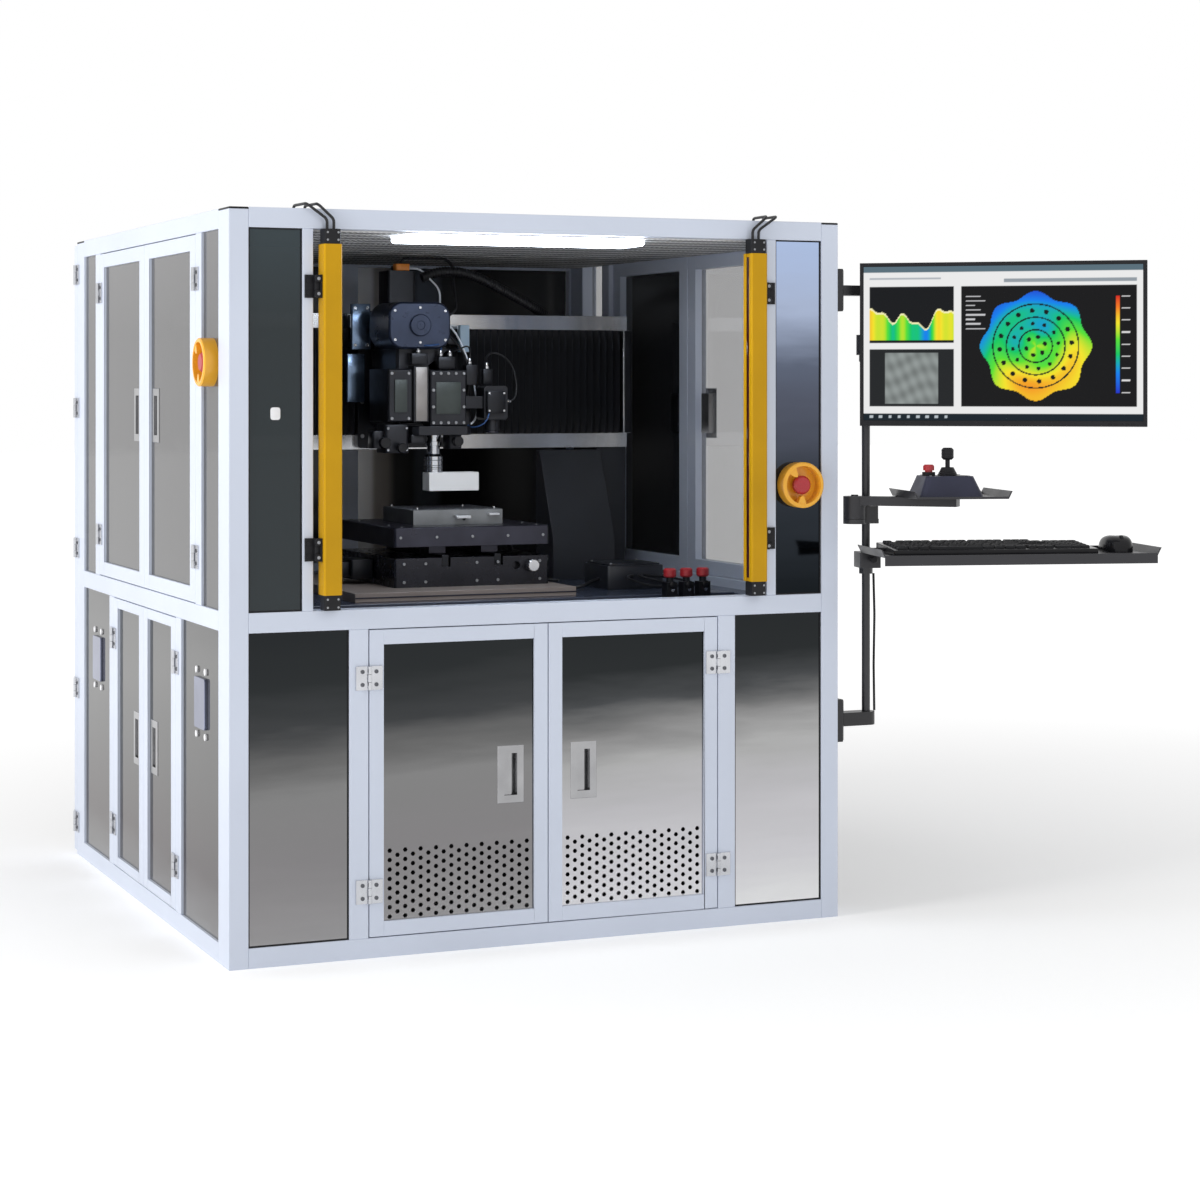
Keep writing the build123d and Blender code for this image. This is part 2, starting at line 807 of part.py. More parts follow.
def head_body():
    """The optical tower: a slide plate, the main casting, a bolted front block, a light
    bar, a rounded lamp housing, a side camera and the nose that holds the objective."""
    x0, x1 = head_x - 74, head_x + 74
    slide = block(x0, x1, slide_front, slide_rear, head_bottom + 14, head_top)
    tower = block(head_x - 87, head_x + 45, -60, slide_front, head_bottom + 24, 1232)
    tower = chamfer(tower.edges().filter_by(Axis.Z), 6)
    front = block(-47, 40, -112, -60, head_bottom + nose_thickness, 1184)
    front = chamfer(front.faces().sort_by(Axis.Y)[0].edges(), 3)
    bar_piece = block(-84, -48, -104, -60, head_bottom + 30, 1192)
    side = block(-142, -84, -98, 40, head_bottom + 30, 1186)
    side = chamfer(side.faces().sort_by(Axis.Y)[0].edges(), 3)
    lamp = block(-140, 8, -96, 40, 1232, 1338)
    lamp = fillet(lamp.edges().filter_by(Axis.Y), 34)
    lamp = chamfer(lamp.faces().sort_by(Axis.Y)[0].edges(), 4)
    nose = block(-88, 52, -118, -20, head_bottom, head_bottom + nose_thickness)
    nose = chamfer(nose.edges().filter_by(Axis.Z), 12)
    bore = rod(objective_x, objective_y, head_bottom - 1, head_bottom + 12, tube_radius + 3)
    add("head_body", slide + tower + front + bar_piece + side + nose - bore, lamp)
    arm = block(40, 84, -100, -72, 1096, 1124)
    camera = block(84, 142, -108, -56, 1070, 1148)
    camera = chamfer(camera.edges().filter_by(Axis.Y), 5)
    lens = rod(113, -82, 1044, 1070, 17)
    add("head_body", arm + camera + lens)


def head_cables():
    """The focus motor's lead, in one loop from its plug down to the carriage's socket, and
    the stouter hose that leaves the plug for the socket's other side."""
    y = plate_front + 27
    x = head_x + 22
    z = motor_top + 6
    drop = head_x + carriage_half - 20
    points = [
        (x, y - 4, z),
        (x + 30, y - 4, z),
        (drop, y - 38, z - 50),
        (drop, y - 38, 1290),
    ]
    add("head_cables", tube_along(points, [24, 40], head_lead))
    end = head_x + carriage_half - 4
    points = [
        (head_x + 4, y, motor_top + 12),
        (head_x + 4, y, motor_top + 30),
        (end + 26, y, motor_top + 30),
        (end + 26, y - 38, 1330),
        (end - 9, y - 38, 1302),
        (end - 9, y - 38, 1290),
    ]
    add("head_cables", tube_along(points, [16, 24, 24, 10], head_hose))


def objective():
    """A turned objective: a collar in the nose, a slim tube and a wider barrel."""
    z = head_bottom + 11
    steps = (
        (z, tube_radius + 2.5),
        (head_bottom - 4, tube_radius + 2.5),
        (head_bottom - 4, tube_radius),
        (head_bottom - tube_length, tube_radius),
        (head_bottom - tube_length - 6, barrel_radius),
        (head_bottom - tube_length - barrel_length, barrel_radius),
    )
    outline = [(0, z)] + [(r, level) for level, r in steps]
    outline.append((0, head_bottom - tube_length - barrel_length))
    profile = make_face(Polyline(*outline, close=True))
    body = revolve(Plane.XZ * profile, Axis.Z, 360)
    add("objective", Pos(objective_x, objective_y, 0) * body)


def reference_arm():
    """The white housing under the barrel that holds the beam splitter and reference."""
    z1 = head_bottom - tube_length - barrel_length
    x0 = objective_x - barrel_radius + 3
    x1 = x0 + arm_block_width
    y0 = objective_y - arm_block_depth / 2
    box = block(x0, x1, y0, y0 + arm_block_depth, z1 - arm_block_height, z1)
    box = chamfer(box.edges().filter_by(Axis.Y), 1.5)
    lens = rod(objective_x, objective_y, z1 - arm_block_height - 1, z1 - arm_block_height + 6, 13)
    window = rod(objective_x, objective_y, z1 - arm_block_height, z1 - arm_block_height + 5.7, 12.7)
    add("reference_arm", box - lens)
    add("reference_arm", window)


# Sample stage
block_top = slab_top + sub_plate + stage_block
top_plate_bottom = block_top + stage_opening
top_plate_top = top_plate_bottom + stage_top_plate
chuck_top = top_plate_top + chuck_thickness


def stage():
    """A grooved base block on its sub-plate, with two guides along Y that carry the
    stage's plate on four runner blocks, the chuck on top and a lock knob in front."""
    low = slab_top + sub_plate
    sub = block(
        sub_plate_left, sub_plate_right, sub_plate_front, sub_plate_rear, slab_top, low
    )
    add("stage_base", sub)
    body = block(-stage_half_width, stage_half_width, stage_front, stage_rear, low, block_top)
    body = chamfer(body.edges().filter_by(Axis.Z), stage_edge)
    guide_top = block_top - guide_slot + guide_height
    for sx in (-1, 1):
        x = sx * guide_offset
        half = guide_slot / 2
        body -= block(
            x - half, x + half, stage_front - 1, stage_rear + 1, block_top - guide_slot, block_top + 1
        )
        half = guide_width / 2
        guide = block(
            x - half, x + half, stage_front + 6, stage_rear - 6, block_top - guide_slot, guide_top
        )
        add("stage_base", guide)
    hole = Pos(knob_x - 34, stage_front, low + knob_level) * Rot(90, 0, 0) * Cylinder(9, 30)
    socket = Pos(knob_x, stage_front, low + knob_level) * Rot(90, 0, 0) * Cylinder(4.1, 60)
    add("stage_base", body - hole - socket)
    plate = block(
        -stage_half_width, stage_half_width, stage_front, stage_rear, top_plate_bottom, top_plate_top
    )
    plate = chamfer(plate.edges().filter_by(Axis.Z), stage_edge)
    plate = chamfer(plate.faces().sort_by(Axis.Z)[-1].edges(), 2)
    mid_y = (stage_front + stage_rear) / 2
    for sx in (-1, 1):
        for sy in (-1, 1):
            y = mid_y + sy * 110
            x = sx * guide_offset
            half = guide_block_width / 2
            runner = block(
                x - half,
                x + half,
                y - guide_block_length / 2,
                y + guide_block_length / 2,
                guide_top + seat_gap,
                top_plate_bottom,
            )
            plate = plate + runner
    add("stage_plate", plate)
    half = chuck_size / 2
    chuck = block(-half, half, chuck_y - half, chuck_y + half, top_plate_top, chuck_top)
    chuck = chamfer(chuck.faces().sort_by(Axis.Z)[-1].edges(), 1.5)
    port = Pos(14, chuck_y - half, top_plate_top + 12) * Rot(90, 0, 0) * Cylinder(port_radius, 40)
    add("sample_chuck", chuck - port)
    knob = Rot(90, 0, 0) * Cylinder(knob_radius, knob_length)
    knob = chamfer(knob.edges(), 2)
    flutes = [
        Pos(knob_radius * math.cos(a), 0, knob_radius * math.sin(a))
        * Rot(90, 0, 0)
        * Cylinder(1.6, knob_length + 2)
        for a in [math.radians(30 * i) for i in range(12)]
    ]
    shaft = Pos(0, knob_length / 2 + 12, 0) * Rot(90, 0, 0) * Cylinder(4, 24)
    place = Pos(knob_x, stage_front - knob_length / 2 - 2, low + knob_level)
    add("stage_knob", place * (knob - flutes + shaft))


# Safety light curtain
def light_curtain():
    """A sender and a receiver beside the mouth, each with end caps and two brackets."""
    y0 = -half_d - curtain_front
    y1 = y0 + curtain_depth
    for sx in (-1, 1):
        x = sx * curtain_x
        half = curtain_width / 2
        housing = block(x - half, x + half, y0, y1, curtain_bottom, curtain_top)
        housing = chamfer(housing.faces().sort_by(Axis.Y)[0].edges().filter_by(Axis.Z), 3)
        gx0, gx1 = sorted((x - sx * half, x - sx * (half - 3)))
        mid = (y0 + y1) / 2
        housing -= block(
            gx0, gx1, mid - curtain_groove / 2, mid + curtain_groove / 2, curtain_bottom - 1, curtain_top + 1
        )
        add("curtain_housings", housing)
        for z0, z1 in (
            (curtain_bottom - curtain_cap, curtain_bottom),
            (curtain_top, curtain_top + curtain_cap),
        ):
            cap = block(x - half + 2, x + half - 2, y0 + 2, y1 - 2, z0, z1)
            add("curtain_fittings", fillet(cap.edges().filter_by(Axis.Z), 5))
        outer = x + sx * half
        for level in bracket_levels:
            z0, z1 = level - bracket_height / 2, level + bracket_height / 2
            xa, xb = sorted((outer, outer + sx * bracket_plate))
            cheek = block(xa, xb, y0 + 10, -half_d, z0, z1)
            xa, xb = sorted((outer, sx * (mouth_half + front_stile - 4)))
            foot = block(xa, xb, -half_d - bracket_plate, -half_d, z0, z1)
            screw = Rot(90, 0, 0) * Cylinder(4, 3)
            sx_pos = sx * (mouth_half + front_stile / 2)
            heads = [
                Pos(sx_pos, -half_d - bracket_plate - 1.5, level + dz) * screw for dz in (-12, 12)
            ]
            add("curtain_fittings", cheek + foot + heads)


def tube_along(points, bends, diameter):
    """A round cable along straight runs joined by tangent arcs."""
    path = FilletPolyline(*points, radius=bends)
    start = path @ 0
    section = Plane(origin=start, z_dir=path % 0) * RegularPolygon(diameter / 2, cable_sides)
    return sweep(section, path)


def curtain_cables():
    """Two signal cables from each curtain's top cap, over the top rail to the roof."""
    z0 = curtain_top + curtain_cap
    roof = cabinet_height - roof_drop
    y = -half_d - curtain_front + curtain_depth / 2
    for sx in (-1, 1):
        for index, offset in enumerate((-7, 7)):
            x = sx * (curtain_x + offset)
            lean = sx * (34 + 9 * index)
            points = [
                (x, y, z0),
                (x, y, z0 + 20),
                (x + lean, y - 2, cabinet_height + 9),
                (x + lean + sx * 4, -inner_d + 24, cabinet_height + 9),
                (x + lean + sx * 4, -inner_d + 24, roof),
            ]
            add("cable_runs", tube_along(points, [14, 9, 9], signal_cable))


# Emergency stops, in a wall's own local frame
def emergency_stop(wall, x, z, shroud_node, button_node):
    """A round shroud with two guard fingers round a mushroom button, whose stem passes
    through the panel into the contact block behind it."""
    face = panel_setback
    outer = Rot(90, 0, 0) * Cylinder(shroud_radius, shroud_depth)
    outer = chamfer(outer.faces().sort_by(Axis.Y)[0].edges(), 2.5)
    inner = Rot(90, 0, 0) * Cylinder(shroud_radius - shroud_wall, shroud_depth)
    outer -= Pos(0, -shroud_floor, 0) * inner
    reach = shroud_radius - shroud_wall + 2
    tip = button_radius + finger_clearance
    outline = Polyline(
        (reach, -finger_width / 2),
        (tip + 4, -finger_tip / 2),
        (tip, 0),
        (tip + 4, finger_tip / 2),
        (reach, finger_width / 2),
        close=True,
    )
    blank = extrude(make_face(outline), finger_depth)
    blank = Pos(0, -shroud_depth / 2 + finger_depth + 1, 0) * (Rot(90, 0, 0) * blank)
    for angle in (130, 265):
        outer = outer + Rot(0, -angle, 0) * blank
    stem_hole = Rot(90, 0, 0) * Cylinder(button_neck + 0.5, shroud_depth + 2)
    outer -= stem_hole
    shroud = Pos(x, face - shroud_depth / 2, z) * outer
    add(shroud_node, wall * shroud)
    rear = face + acrylic
    contacts = block(x - 21, x + 21, rear, rear + 34, z - 21, z + 21)
    well = Rot(90, 0, 0) * Cylinder(button_neck + 0.5, 24)
    add(shroud_node, wall * (contacts - Pos(x, rear, z) * well))
    rise = button_height - button_cap
    length = rise + stem_beyond
    stem = Pos(0, stem_beyond - length / 2, 0) * Rot(90, 0, 0) * Cylinder(button_neck, length)
    cap = Pos(0, -rise - button_cap / 2, 0) * Rot(90, 0, 0) * Cylinder(button_radius, button_cap)
    cap = chamfer(cap.faces().sort_by(Axis.Y)[0].edges(), 4)
    add(button_node, wall * Pos(x, face, z) * (stem + cap))


def emergency_stops():
    """One on the front beside the mouth and one on the left side."""
    emergency_stop(front_wall, front_stop_x, front_stop_z, "stop_shrouds", "front_stop_button")
    emergency_stop(left_wall, -side_stop_y, side_stop_z, "stop_shrouds", "side_stop_button")


# Fittings on the deck
def air_valves():
    """Three hand valves in a row on the deck."""
    for i in range(3):
        x = 395 + 40 * i
        body = block(x - 13, x + 13, -462, -434, deck_top, deck_top + 34)
        body = body + rod(x, -448, deck_top + 34, deck_top + 44, 8)
        knob = rod(x, -448, deck_top + 44, deck_top + 64, 14)
        add("air_valves", body)
        add("air_valves", chamfer(knob.edges(), 3))


# Operator station
mast = Pos(mast_x, mast_y, 0)
station = mast * Rot(0, 0, station_yaw)
screen = mast * Rot(0, 0, monitor_yaw)


def station_brackets():
    """Two wall plates on the right front post, each with an arm that grips the mast."""
    y0, y1 = mast_y - wall_plate_width / 2, mast_y + wall_plate_width / 2
    for level, height in (
        (lower_bracket_z, lower_arm_height),
        (upper_bracket_z, upper_arm_height),
    ):
        half = wall_plate_height / 2
        plate = block(half_w, half_w + wall_plate, y0, y1, level - half, level + half)
        plate = chamfer(plate.faces().sort_by(Axis.X)[-1].edges(), 4)
        half = bracket_arm_width / 2
        z0, z1 = level - height / 2, level + height / 2
        arm = block(half_w + wall_plate - 1, mast_x, mast_y - half, mast_y + half, z0, z1)
        arm = arm + rod(mast_x, mast_y, z0, z1, half)
        arm -= rod(mast_x, mast_y, z0 - 1, z1 + 1, mast_radius + running_gap)
        add("station_brackets", plate + arm)
        for dz in (-30, 30):
            bolt = Rot(0, 90, 0) * Cylinder(5.5, 4)
            add("station_brackets", Pos(half_w + wall_plate + 2, mast_y, level + dz) * bolt)


mast_bottom = lower_bracket_z - lower_arm_height / 2
mast_top = upper_bracket_z + upper_arm_height / 2
joystick_hub_bottom = joystick_arm_top - joystick_hub_height
ear_thickness = 10.0
keyboard_clamp_top = keyboard_tray_top - tray_sheet


def station_mast():
    """The mast and the collars that hold the clamps up on it."""
    add("station_mast", rod(mast_x, mast_y, mast_bottom, mast_top, mast_radius))
    monitor_collar_top = monitor_centre - upper_arm_height - seat_gap
    keyboard_collar_top = keyboard_clamp_top - clamp_height - seat_gap
    for top in (monitor_collar_top, keyboard_collar_top):
        ring = rod(mast_x, mast_y, top - 14, top, mast_radius + 6)
        ring -= rod(mast_x, mast_y, top - 15, top + 1, mast_radius + 0.02)
        add("station_mast", ring)
    half = clamp_size / 2
    z1 = joystick_arm_top - joystick_arm_height - 2
    grip = block(-half + 4, half, -half, half, joystick_hub_bottom, z1)
    grip = fillet(grip.edges().filter_by(Axis.Z), 5)
    pivot = (joystick_pivot_x, -joystick_pivot_y)
    ear_z0 = joystick_hub_bottom - ear_thickness - seat_gap
    ear_z1 = joystick_hub_bottom - seat_gap
    ear = block(pivot[0], half, -half, half, ear_z0, ear_z1 + seat_gap)
    ear = ear + rod(pivot[0], pivot[1], ear_z0, ear_z1, joystick_hub_radius)
    relief = rod(pivot[0], pivot[1], ear_z1, z1 + 1, joystick_hub_radius + 1)
    pin = rod(pivot[0], pivot[1], ear_z0, joystick_arm_top + 3, pivot_pin_radius)
    grip = (grip + ear - relief) + pin
    grip -= rod(0, 0, ear_z0 - 1, z1 + 1, mast_radius + 0.02)
    add("station_mast", station * grip)


def mast_cable_run():
    """One cable that leaves the lower arm, follows the mast and ends behind the screen."""
    x = mast_x + mast_radius + 12
    y = mast_y + 2
    z0 = lower_bracket_z + lower_arm_height / 2
    points = [
        (x + 1, y, z0),
        (x, y + 1, z0 + 100),
        (x + 2, y + 1, z0 + 210),
        (x, y + 2, z0 + 300),
    ]
    add("cable_runs", tube_along(points, [500, 500], mast_cable))


def monitor():
    """The swivel arm behind the screen, the tilt knuckle at its end and the screen's
    housing, whose back plate carries the other half of the knuckle."""
    half = upper_arm_height
    z = monitor_centre
    hub = rod(0, 0, z - half, z + half, mast_radius + 12)
    joint_x = monitor_reach - 2
    beam = block(0, joint_x - 28, -11, 11, z - 12, z + 12)
    barrel = Pos(joint_x - 14, 0, z) * Rot(0, 90, 0) * Cylinder(tilt_radius, 28)
    pin = Pos(joint_x + 14, 0, z) * Rot(0, 90, 0) * Cylinder(tilt_pin, 28)
    arm = hub + beam + barrel + pin
    arm -= rod(0, 0, z - half - 1, z + half + 1, mast_radius + running_gap)
    add("monitor_arm", screen * arm)
    front = -monitor_standoff
    x0 = monitor_reach - monitor_width / 2
    x1 = monitor_reach + monitor_width / 2
    z0 = z - monitor_height / 2
    z1 = z + monitor_height / 2
    panel = block(x0, x1, front, front + monitor_panel, z0, z1)
    panel = chamfer(panel.faces().sort_by(Axis.Y)[-1].edges(), 3)
    recess = block(x0 + 8, x1 - 8, front - 1, front + 1.5, z0 + 12, z1 - 8)
    y = front + monitor_panel
    back = block(x0 + 120, x1 - 120, y, y + monitor_back, z0 + 60, z1 - 60)
    back = chamfer(back.faces().sort_by(Axis.Y)[-1].edges(), 12)
    half = vesa_plate / 2
    y += monitor_back
    vesa = block(monitor_reach - half, monitor_reach + half, y, y + 5, z - half, z + half)
    low, high = joint_x + seat_gap, joint_x + 32
    ear = Pos((low + high) / 2, 0, z) * Rot(0, 90, 0) * Cylinder(tilt_radius, high - low)
    web = block(low, high, y + 4, 0, z - 8, z + 8)
    bore = Pos(joint_x + 20, 0, z) * Rot(0, 90, 0) * Cylinder(tilt_pin + running_gap, 60)
    housing = (panel - recess) + back + vesa + ((web + ear) - bore)
    add("monitor_housing", screen * housing)
    glass = block(x0 + 8.2, x1 - 8.2, front + 0.3, front + 1.5, z0 + 12.2, z1 - 8.2)
    add("monitor_housing", screen * glass)


def tray(width, depth, centre_s, centre_t, top, lip):
    """A folded sheet tray: a floor, raised slanted ends and a turned-down front lip."""
    x0, x1 = centre_s - width / 2, centre_s + width / 2
    y0, y1 = -centre_t - depth / 2, -centre_t + depth / 2
    floor = block(x0, x1, y0, y1, top - tray_sheet, top)
    front = block(x0, x1, y0, y0 + tray_sheet, top - lip, top + 2)
    back = block(x0, x1, y1 - tray_sheet, y1, top, top + tray_rim / 2)
    pan = floor + front + back
    for x, sx in ((x0, -1), (x1, 1)):
        rim = Polyline(
            (x, top - tray_sheet),
            (x + sx * tray_rim * 0.6, top + tray_rim),
            (x + sx * (tray_rim * 0.6 - tray_sheet), top + tray_rim),
            (x - sx * tray_sheet, top - tray_sheet),
            close=True,
        )
        pan = pan + Pos(0, y1, 0) * (Rot(90, 0, 0) * extrude(make_face(rim), depth))
    return pan


def joystick():
    """The swivel arm with its tray, the joystick's box, its stick and its button."""
    pivot = (joystick_pivot_x, -joystick_pivot_y)
    hub = rod(*pivot, joystick_hub_bottom, joystick_arm_top, joystick_hub_radius)
    goal = (joystick_tray_s, -joystick_tray_t)
    run = (goal[0] - pivot[0], goal[1] - pivot[1])
    length = math.hypot(*run)
    turn = math.degrees(math.atan2(run[1], run[0]))
    half = joystick_arm_width / 2
    z0 = joystick_arm_top - joystick_arm_height
    beam = block(0, length + half, -half, half, z0, joystick_arm_top)
    beam = Pos(*pivot, 0) * (Rot(0, 0, turn) * beam)
    shaft_hole = rod(
        *pivot, joystick_hub_bottom - 1, joystick_arm_top + 1, pivot_pin_radius + running_gap
    )
    add("joystick_arm", station * (hub + beam - shaft_hole))
    size = joystick_tray_size
    top = joystick_arm_top + tray_sheet
    pan = tray(size, size, joystick_tray_s, joystick_tray_t, top, tray_sheet + 2)
    pan -= rod(*goal, joystick_arm_top - 30, joystick_arm_top, 150)
    add("joystick_arm", station * pan)
    s, t = joystick_tray_s - 13, joystick_tray_t + 10
    sketch_low = Pos(s, -t) * RectangleRounded(140, 120, 14)
    sketch_high = Pos(s, -t + 4) * RectangleRounded(104, 92, 12)
    box = loft(Sketch() + [Pos(0, 0, top) * sketch_low, Pos(0, 0, top + 44) * sketch_high])
    add("joystick_base", station * box)
    z = top + 44
    x, y = s + 6, -t + 4
    boot = Pos(x, y, z + 9) * Cone(22, 13, 18)
    boot -= Pos(x, y, z + 9) * Cylinder(10.5, 20)
    add("joystick_base", station * boot)
    pivot_z = z + seat_gap + stick_ball_radius
    r = stick_ball_radius
    rings = ((0.42, -0.92), (0.82, -0.6), (1, -0.2), (1, 0.2), (0.82, 0.6), (0.42, 0.92))
    arc = [(0, -r)] + [(r * a, r * b) for a, b in rings] + [(0, r)]
    ball = revolve(Plane.XZ * make_face(Polyline(*arc, close=True)), Axis.Z, 360)
    ball = Pos(x, y, pivot_z) * ball
    shaft = ball + rod(x, y, pivot_z, z + 34, 5)
    grip = rod(x, y, z + 34, z + 60, 13)
    grip = chamfer(grip.edges(), 4)
    add("joystick_stick", station * (shaft + grip))
    x = s - 36
    collar = rod(x, y, z, z + 8, 14) - rod(x, y, z - 1, z + 9, 8.6)
    add("joystick_base", station * collar)
    press = rod(x, y, z + 11.5, z + 24, 12)
    press = chamfer(press.edges().sort_by(Axis.Z)[-1], 3)
    stem = rod(x, y, z + 3.5, z + 12, 8)
    add("joystick_button", station * (press + stem))


def keyboard():
    """The tray with its clamp round the mast, the keyboard, its rows and a mouse."""
    top = keyboard_tray_top
    pan = tray(keyboard_tray_width, keyboard_tray_depth, keyboard_tray_s, keyboard_tray_t, top, tray_lip)
    half = clamp_size / 2
    z1 = keyboard_clamp_top
    z0 = z1 - clamp_height
    grip = block(-half, half, -half - 20, half - 4, z0, z1)
    grip = fillet(grip.edges().filter_by(Axis.Z), 4)
    grip -= rod(0, 0, z0 - 1, z1 + 1, mast_radius + running_gap)
    add("keyboard_tray", station * (pan + grip))
    x0, x1 = keyboard_s - keyboard_width / 2, keyboard_s + keyboard_width / 2
    t = keyboard_tray_t - 4
    y0, y1 = -t - keyboard_depth / 2, -t + keyboard_depth / 2
    case = Polyline(
        (y0, top), (y1, top), (y1, top + keyboard_height), (y0, top + keyboard_height * 0.55), close=True
    )
    case = Pos(x0, 0, 0) * extrude(Plane.YZ * make_face(case), keyboard_width)
    add("keyboard", station * case)
    slope = keyboard_height * 0.45 / keyboard_depth
    for row in range(6):
        y = y0 + 12 + row * 22
        level = top + keyboard_height * 0.55 + (y + 9 - y0) * slope
        keys = block(x0 + 10, x1 - 10, y, y + 18, level - 1, level + 7)
        add("keyboard", station * keys)
    body = Pos(mouse_s, -t, 0) * Rectangle(mouse_width, mouse_length)
    mouse = extrude(body, mouse_height)
    mouse = chamfer(mouse.edges().filter_by(Axis.Z), 16)
    mouse = chamfer(mouse.faces().sort_by(Axis.Z)[-1].edges(), 13, 11)
    add("mouse", station * Pos(0, 0, top) * mouse)


def main():
    corner_posts()
    frame_rails()
    frame_posts()
    fixed_panels()
    right_lower_panels()
    sheets()
    ceiling()
    front_doors()
    side_doors()
    rear_doors()
    rear_hinges()
    utility_covers()
    base()
    bridge()
    bellows()
    x_carriage()
    head_body()
    head_cables()
    objective()
    reference_arm()
    stage()
    light_curtain()
    curtain_cables()
    emergency_stops()
    air_valves()
    station_brackets()
    station_mast()
    mast_cable_run()
    monitor()
    joystick()
    keyboard()
    os.makedirs("parts", exist_ok=True)
    for name, pieces in nodes.items():
        solids = [solid for piece in pieces for solid in piece.solids()]
        export_step(Compound(solids), f"parts/{name}.step")
    print(len(nodes), "nodes")


main()
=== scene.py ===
"""The optical profiler's looks: finishes, fasteners, wiring and the detailed measuring head,
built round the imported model. Metres, in the model's own frame."""
import json
import math

import bpy
import numpy as np
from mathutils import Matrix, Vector


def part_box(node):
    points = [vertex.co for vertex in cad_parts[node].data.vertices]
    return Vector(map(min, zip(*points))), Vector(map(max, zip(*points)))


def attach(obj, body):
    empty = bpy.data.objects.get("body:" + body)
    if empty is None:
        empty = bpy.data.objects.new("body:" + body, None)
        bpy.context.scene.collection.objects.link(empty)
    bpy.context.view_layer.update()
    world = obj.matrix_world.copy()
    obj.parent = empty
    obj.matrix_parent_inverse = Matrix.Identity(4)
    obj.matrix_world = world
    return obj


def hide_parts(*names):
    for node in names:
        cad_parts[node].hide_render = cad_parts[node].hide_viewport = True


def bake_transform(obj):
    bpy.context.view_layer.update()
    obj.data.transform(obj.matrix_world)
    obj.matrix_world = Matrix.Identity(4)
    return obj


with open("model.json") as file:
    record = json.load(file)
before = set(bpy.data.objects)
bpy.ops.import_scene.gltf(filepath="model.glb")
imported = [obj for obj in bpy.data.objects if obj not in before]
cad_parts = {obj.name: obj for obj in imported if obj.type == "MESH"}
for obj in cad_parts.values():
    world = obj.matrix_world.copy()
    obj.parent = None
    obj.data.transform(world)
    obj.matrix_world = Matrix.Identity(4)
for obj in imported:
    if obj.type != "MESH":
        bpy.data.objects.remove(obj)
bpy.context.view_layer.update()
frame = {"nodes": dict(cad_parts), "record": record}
nodes = frame["nodes"]
bodies = frame["record"]["behaviour"]["bodies"]
body_of_node = {n: b for b, members in bodies.items() for n in members}
mm = 0.001
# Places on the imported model, in millimetres, and two directions
front_face, side_face = 710, 675
chuck_top = 870
valve_places = (395, 435, 475)
tray_top, tray_line = 789, -131
screen_x, screen_z = 302, 1237
forward, upward = (0, -1, 0), (0, 0, 1)


# Camera, at the photograph's viewing angle
def place_camera():
    """A level long lens left of centre, with the vertical shift that keeps posts upright."""
    data = bpy.data.cameras.new("camera")
    camera = bpy.data.objects.new("camera", data)
    bpy.context.scene.collection.objects.link(camera)
    camera.location = (-2.0338, -5.7684, 1.1459)
    camera.rotation_euler = (math.radians(90), 0, math.radians(-23.33))
    data.sensor_width = 36
    data.lens = 79.3
    data.shift_x = -0.0118
    data.shift_y = -0.1778
    data.clip_end = 60
    bpy.context.scene.camera = camera


place_camera()


# Finishes
def finish(name, colour, rough, metal=0.0, coat=0.0, spec=0.5, alpha=1.0):
    """A principled material whose plain values sit on the shader's own sockets."""
    material = bpy.data.materials.new(name)
    material.use_nodes = True
    shader = material.node_tree.nodes["Principled BSDF"]
    shader.inputs["Base Color"].default_value = (*colour, 1)
    shader.inputs["Roughness"].default_value = rough
    shader.inputs["Metallic"].default_value = metal
    shader.inputs["Coat Weight"].default_value = coat
    shader.inputs["Coat Roughness"].default_value = 0.06
    shader.inputs["Specular IOR Level"].default_value = spec
    shader.inputs["Alpha"].default_value = alpha
    material.diffuse_color = (*colour, alpha)
    return material


def add_node(material, kind, **values):
    """A node whose inputs are set by name."""
    node = material.node_tree.nodes.new(kind)
    for key, value in values.items():
        if key in node.inputs:
            node.inputs[key].default_value = value
        else:
            setattr(node, key, value)
    return node


def place(material, scale):
    """Object coordinates stretched by a scale."""
    coords = add_node(material, "ShaderNodeTexCoord")
    mapping = add_node(material, "ShaderNodeMapping", Scale=scale)
    material.node_tree.links.new(coords.outputs["Object"], mapping.inputs["Vector"])
    return mapping.outputs["Vector"]


def noise(material, size, detail, stretch):
    """Noise of a given size on the object, stretched along its axes."""
    node = add_node(material, "ShaderNodeTexNoise", Scale=size, Detail=detail)
    material.node_tree.links.new(place(material, stretch), node.inputs["Vector"])
    return node.outputs["Fac"]


def ramp(material, value, stops, smooth=False):
    """Colours along a value, as (position, colour) pairs."""
    node = add_node(material, "ShaderNodeValToRGB")
    if smooth:
        node.color_ramp.interpolation = "EASE"
    elements = node.color_ramp.elements
    while len(elements) < len(stops):
        elements.new(0.5)
    for element, (position, colour) in zip(elements, stops):
        element.position = position
        element.color = (*colour, 1)
    material.node_tree.links.new(value, node.inputs["Fac"])
    return node.outputs["Color"]


def shader_of(material):
    return material.node_tree.nodes["Principled BSDF"]


def colour_by(material, value, stops, smooth=False):
    """Paints the surface with colours along a value."""
    colour = ramp(material, value, stops, smooth)
    material.node_tree.links.new(colour, shader_of(material).inputs["Base Color"])
    return material


def mottled(material, size, spread, stretch=(1, 1, 1)):
    """Lets the base colour wander a little darker and lighter."""
    base = np.array(shader_of(material).inputs["Base Color"].default_value[:3])
    stops = [(0.3, tuple(base * (1 - spread))), (0.7, tuple(np.minimum(base * (1 + spread), 1)))]
    return colour_by(material, noise(material, size, 4.0, stretch), stops)


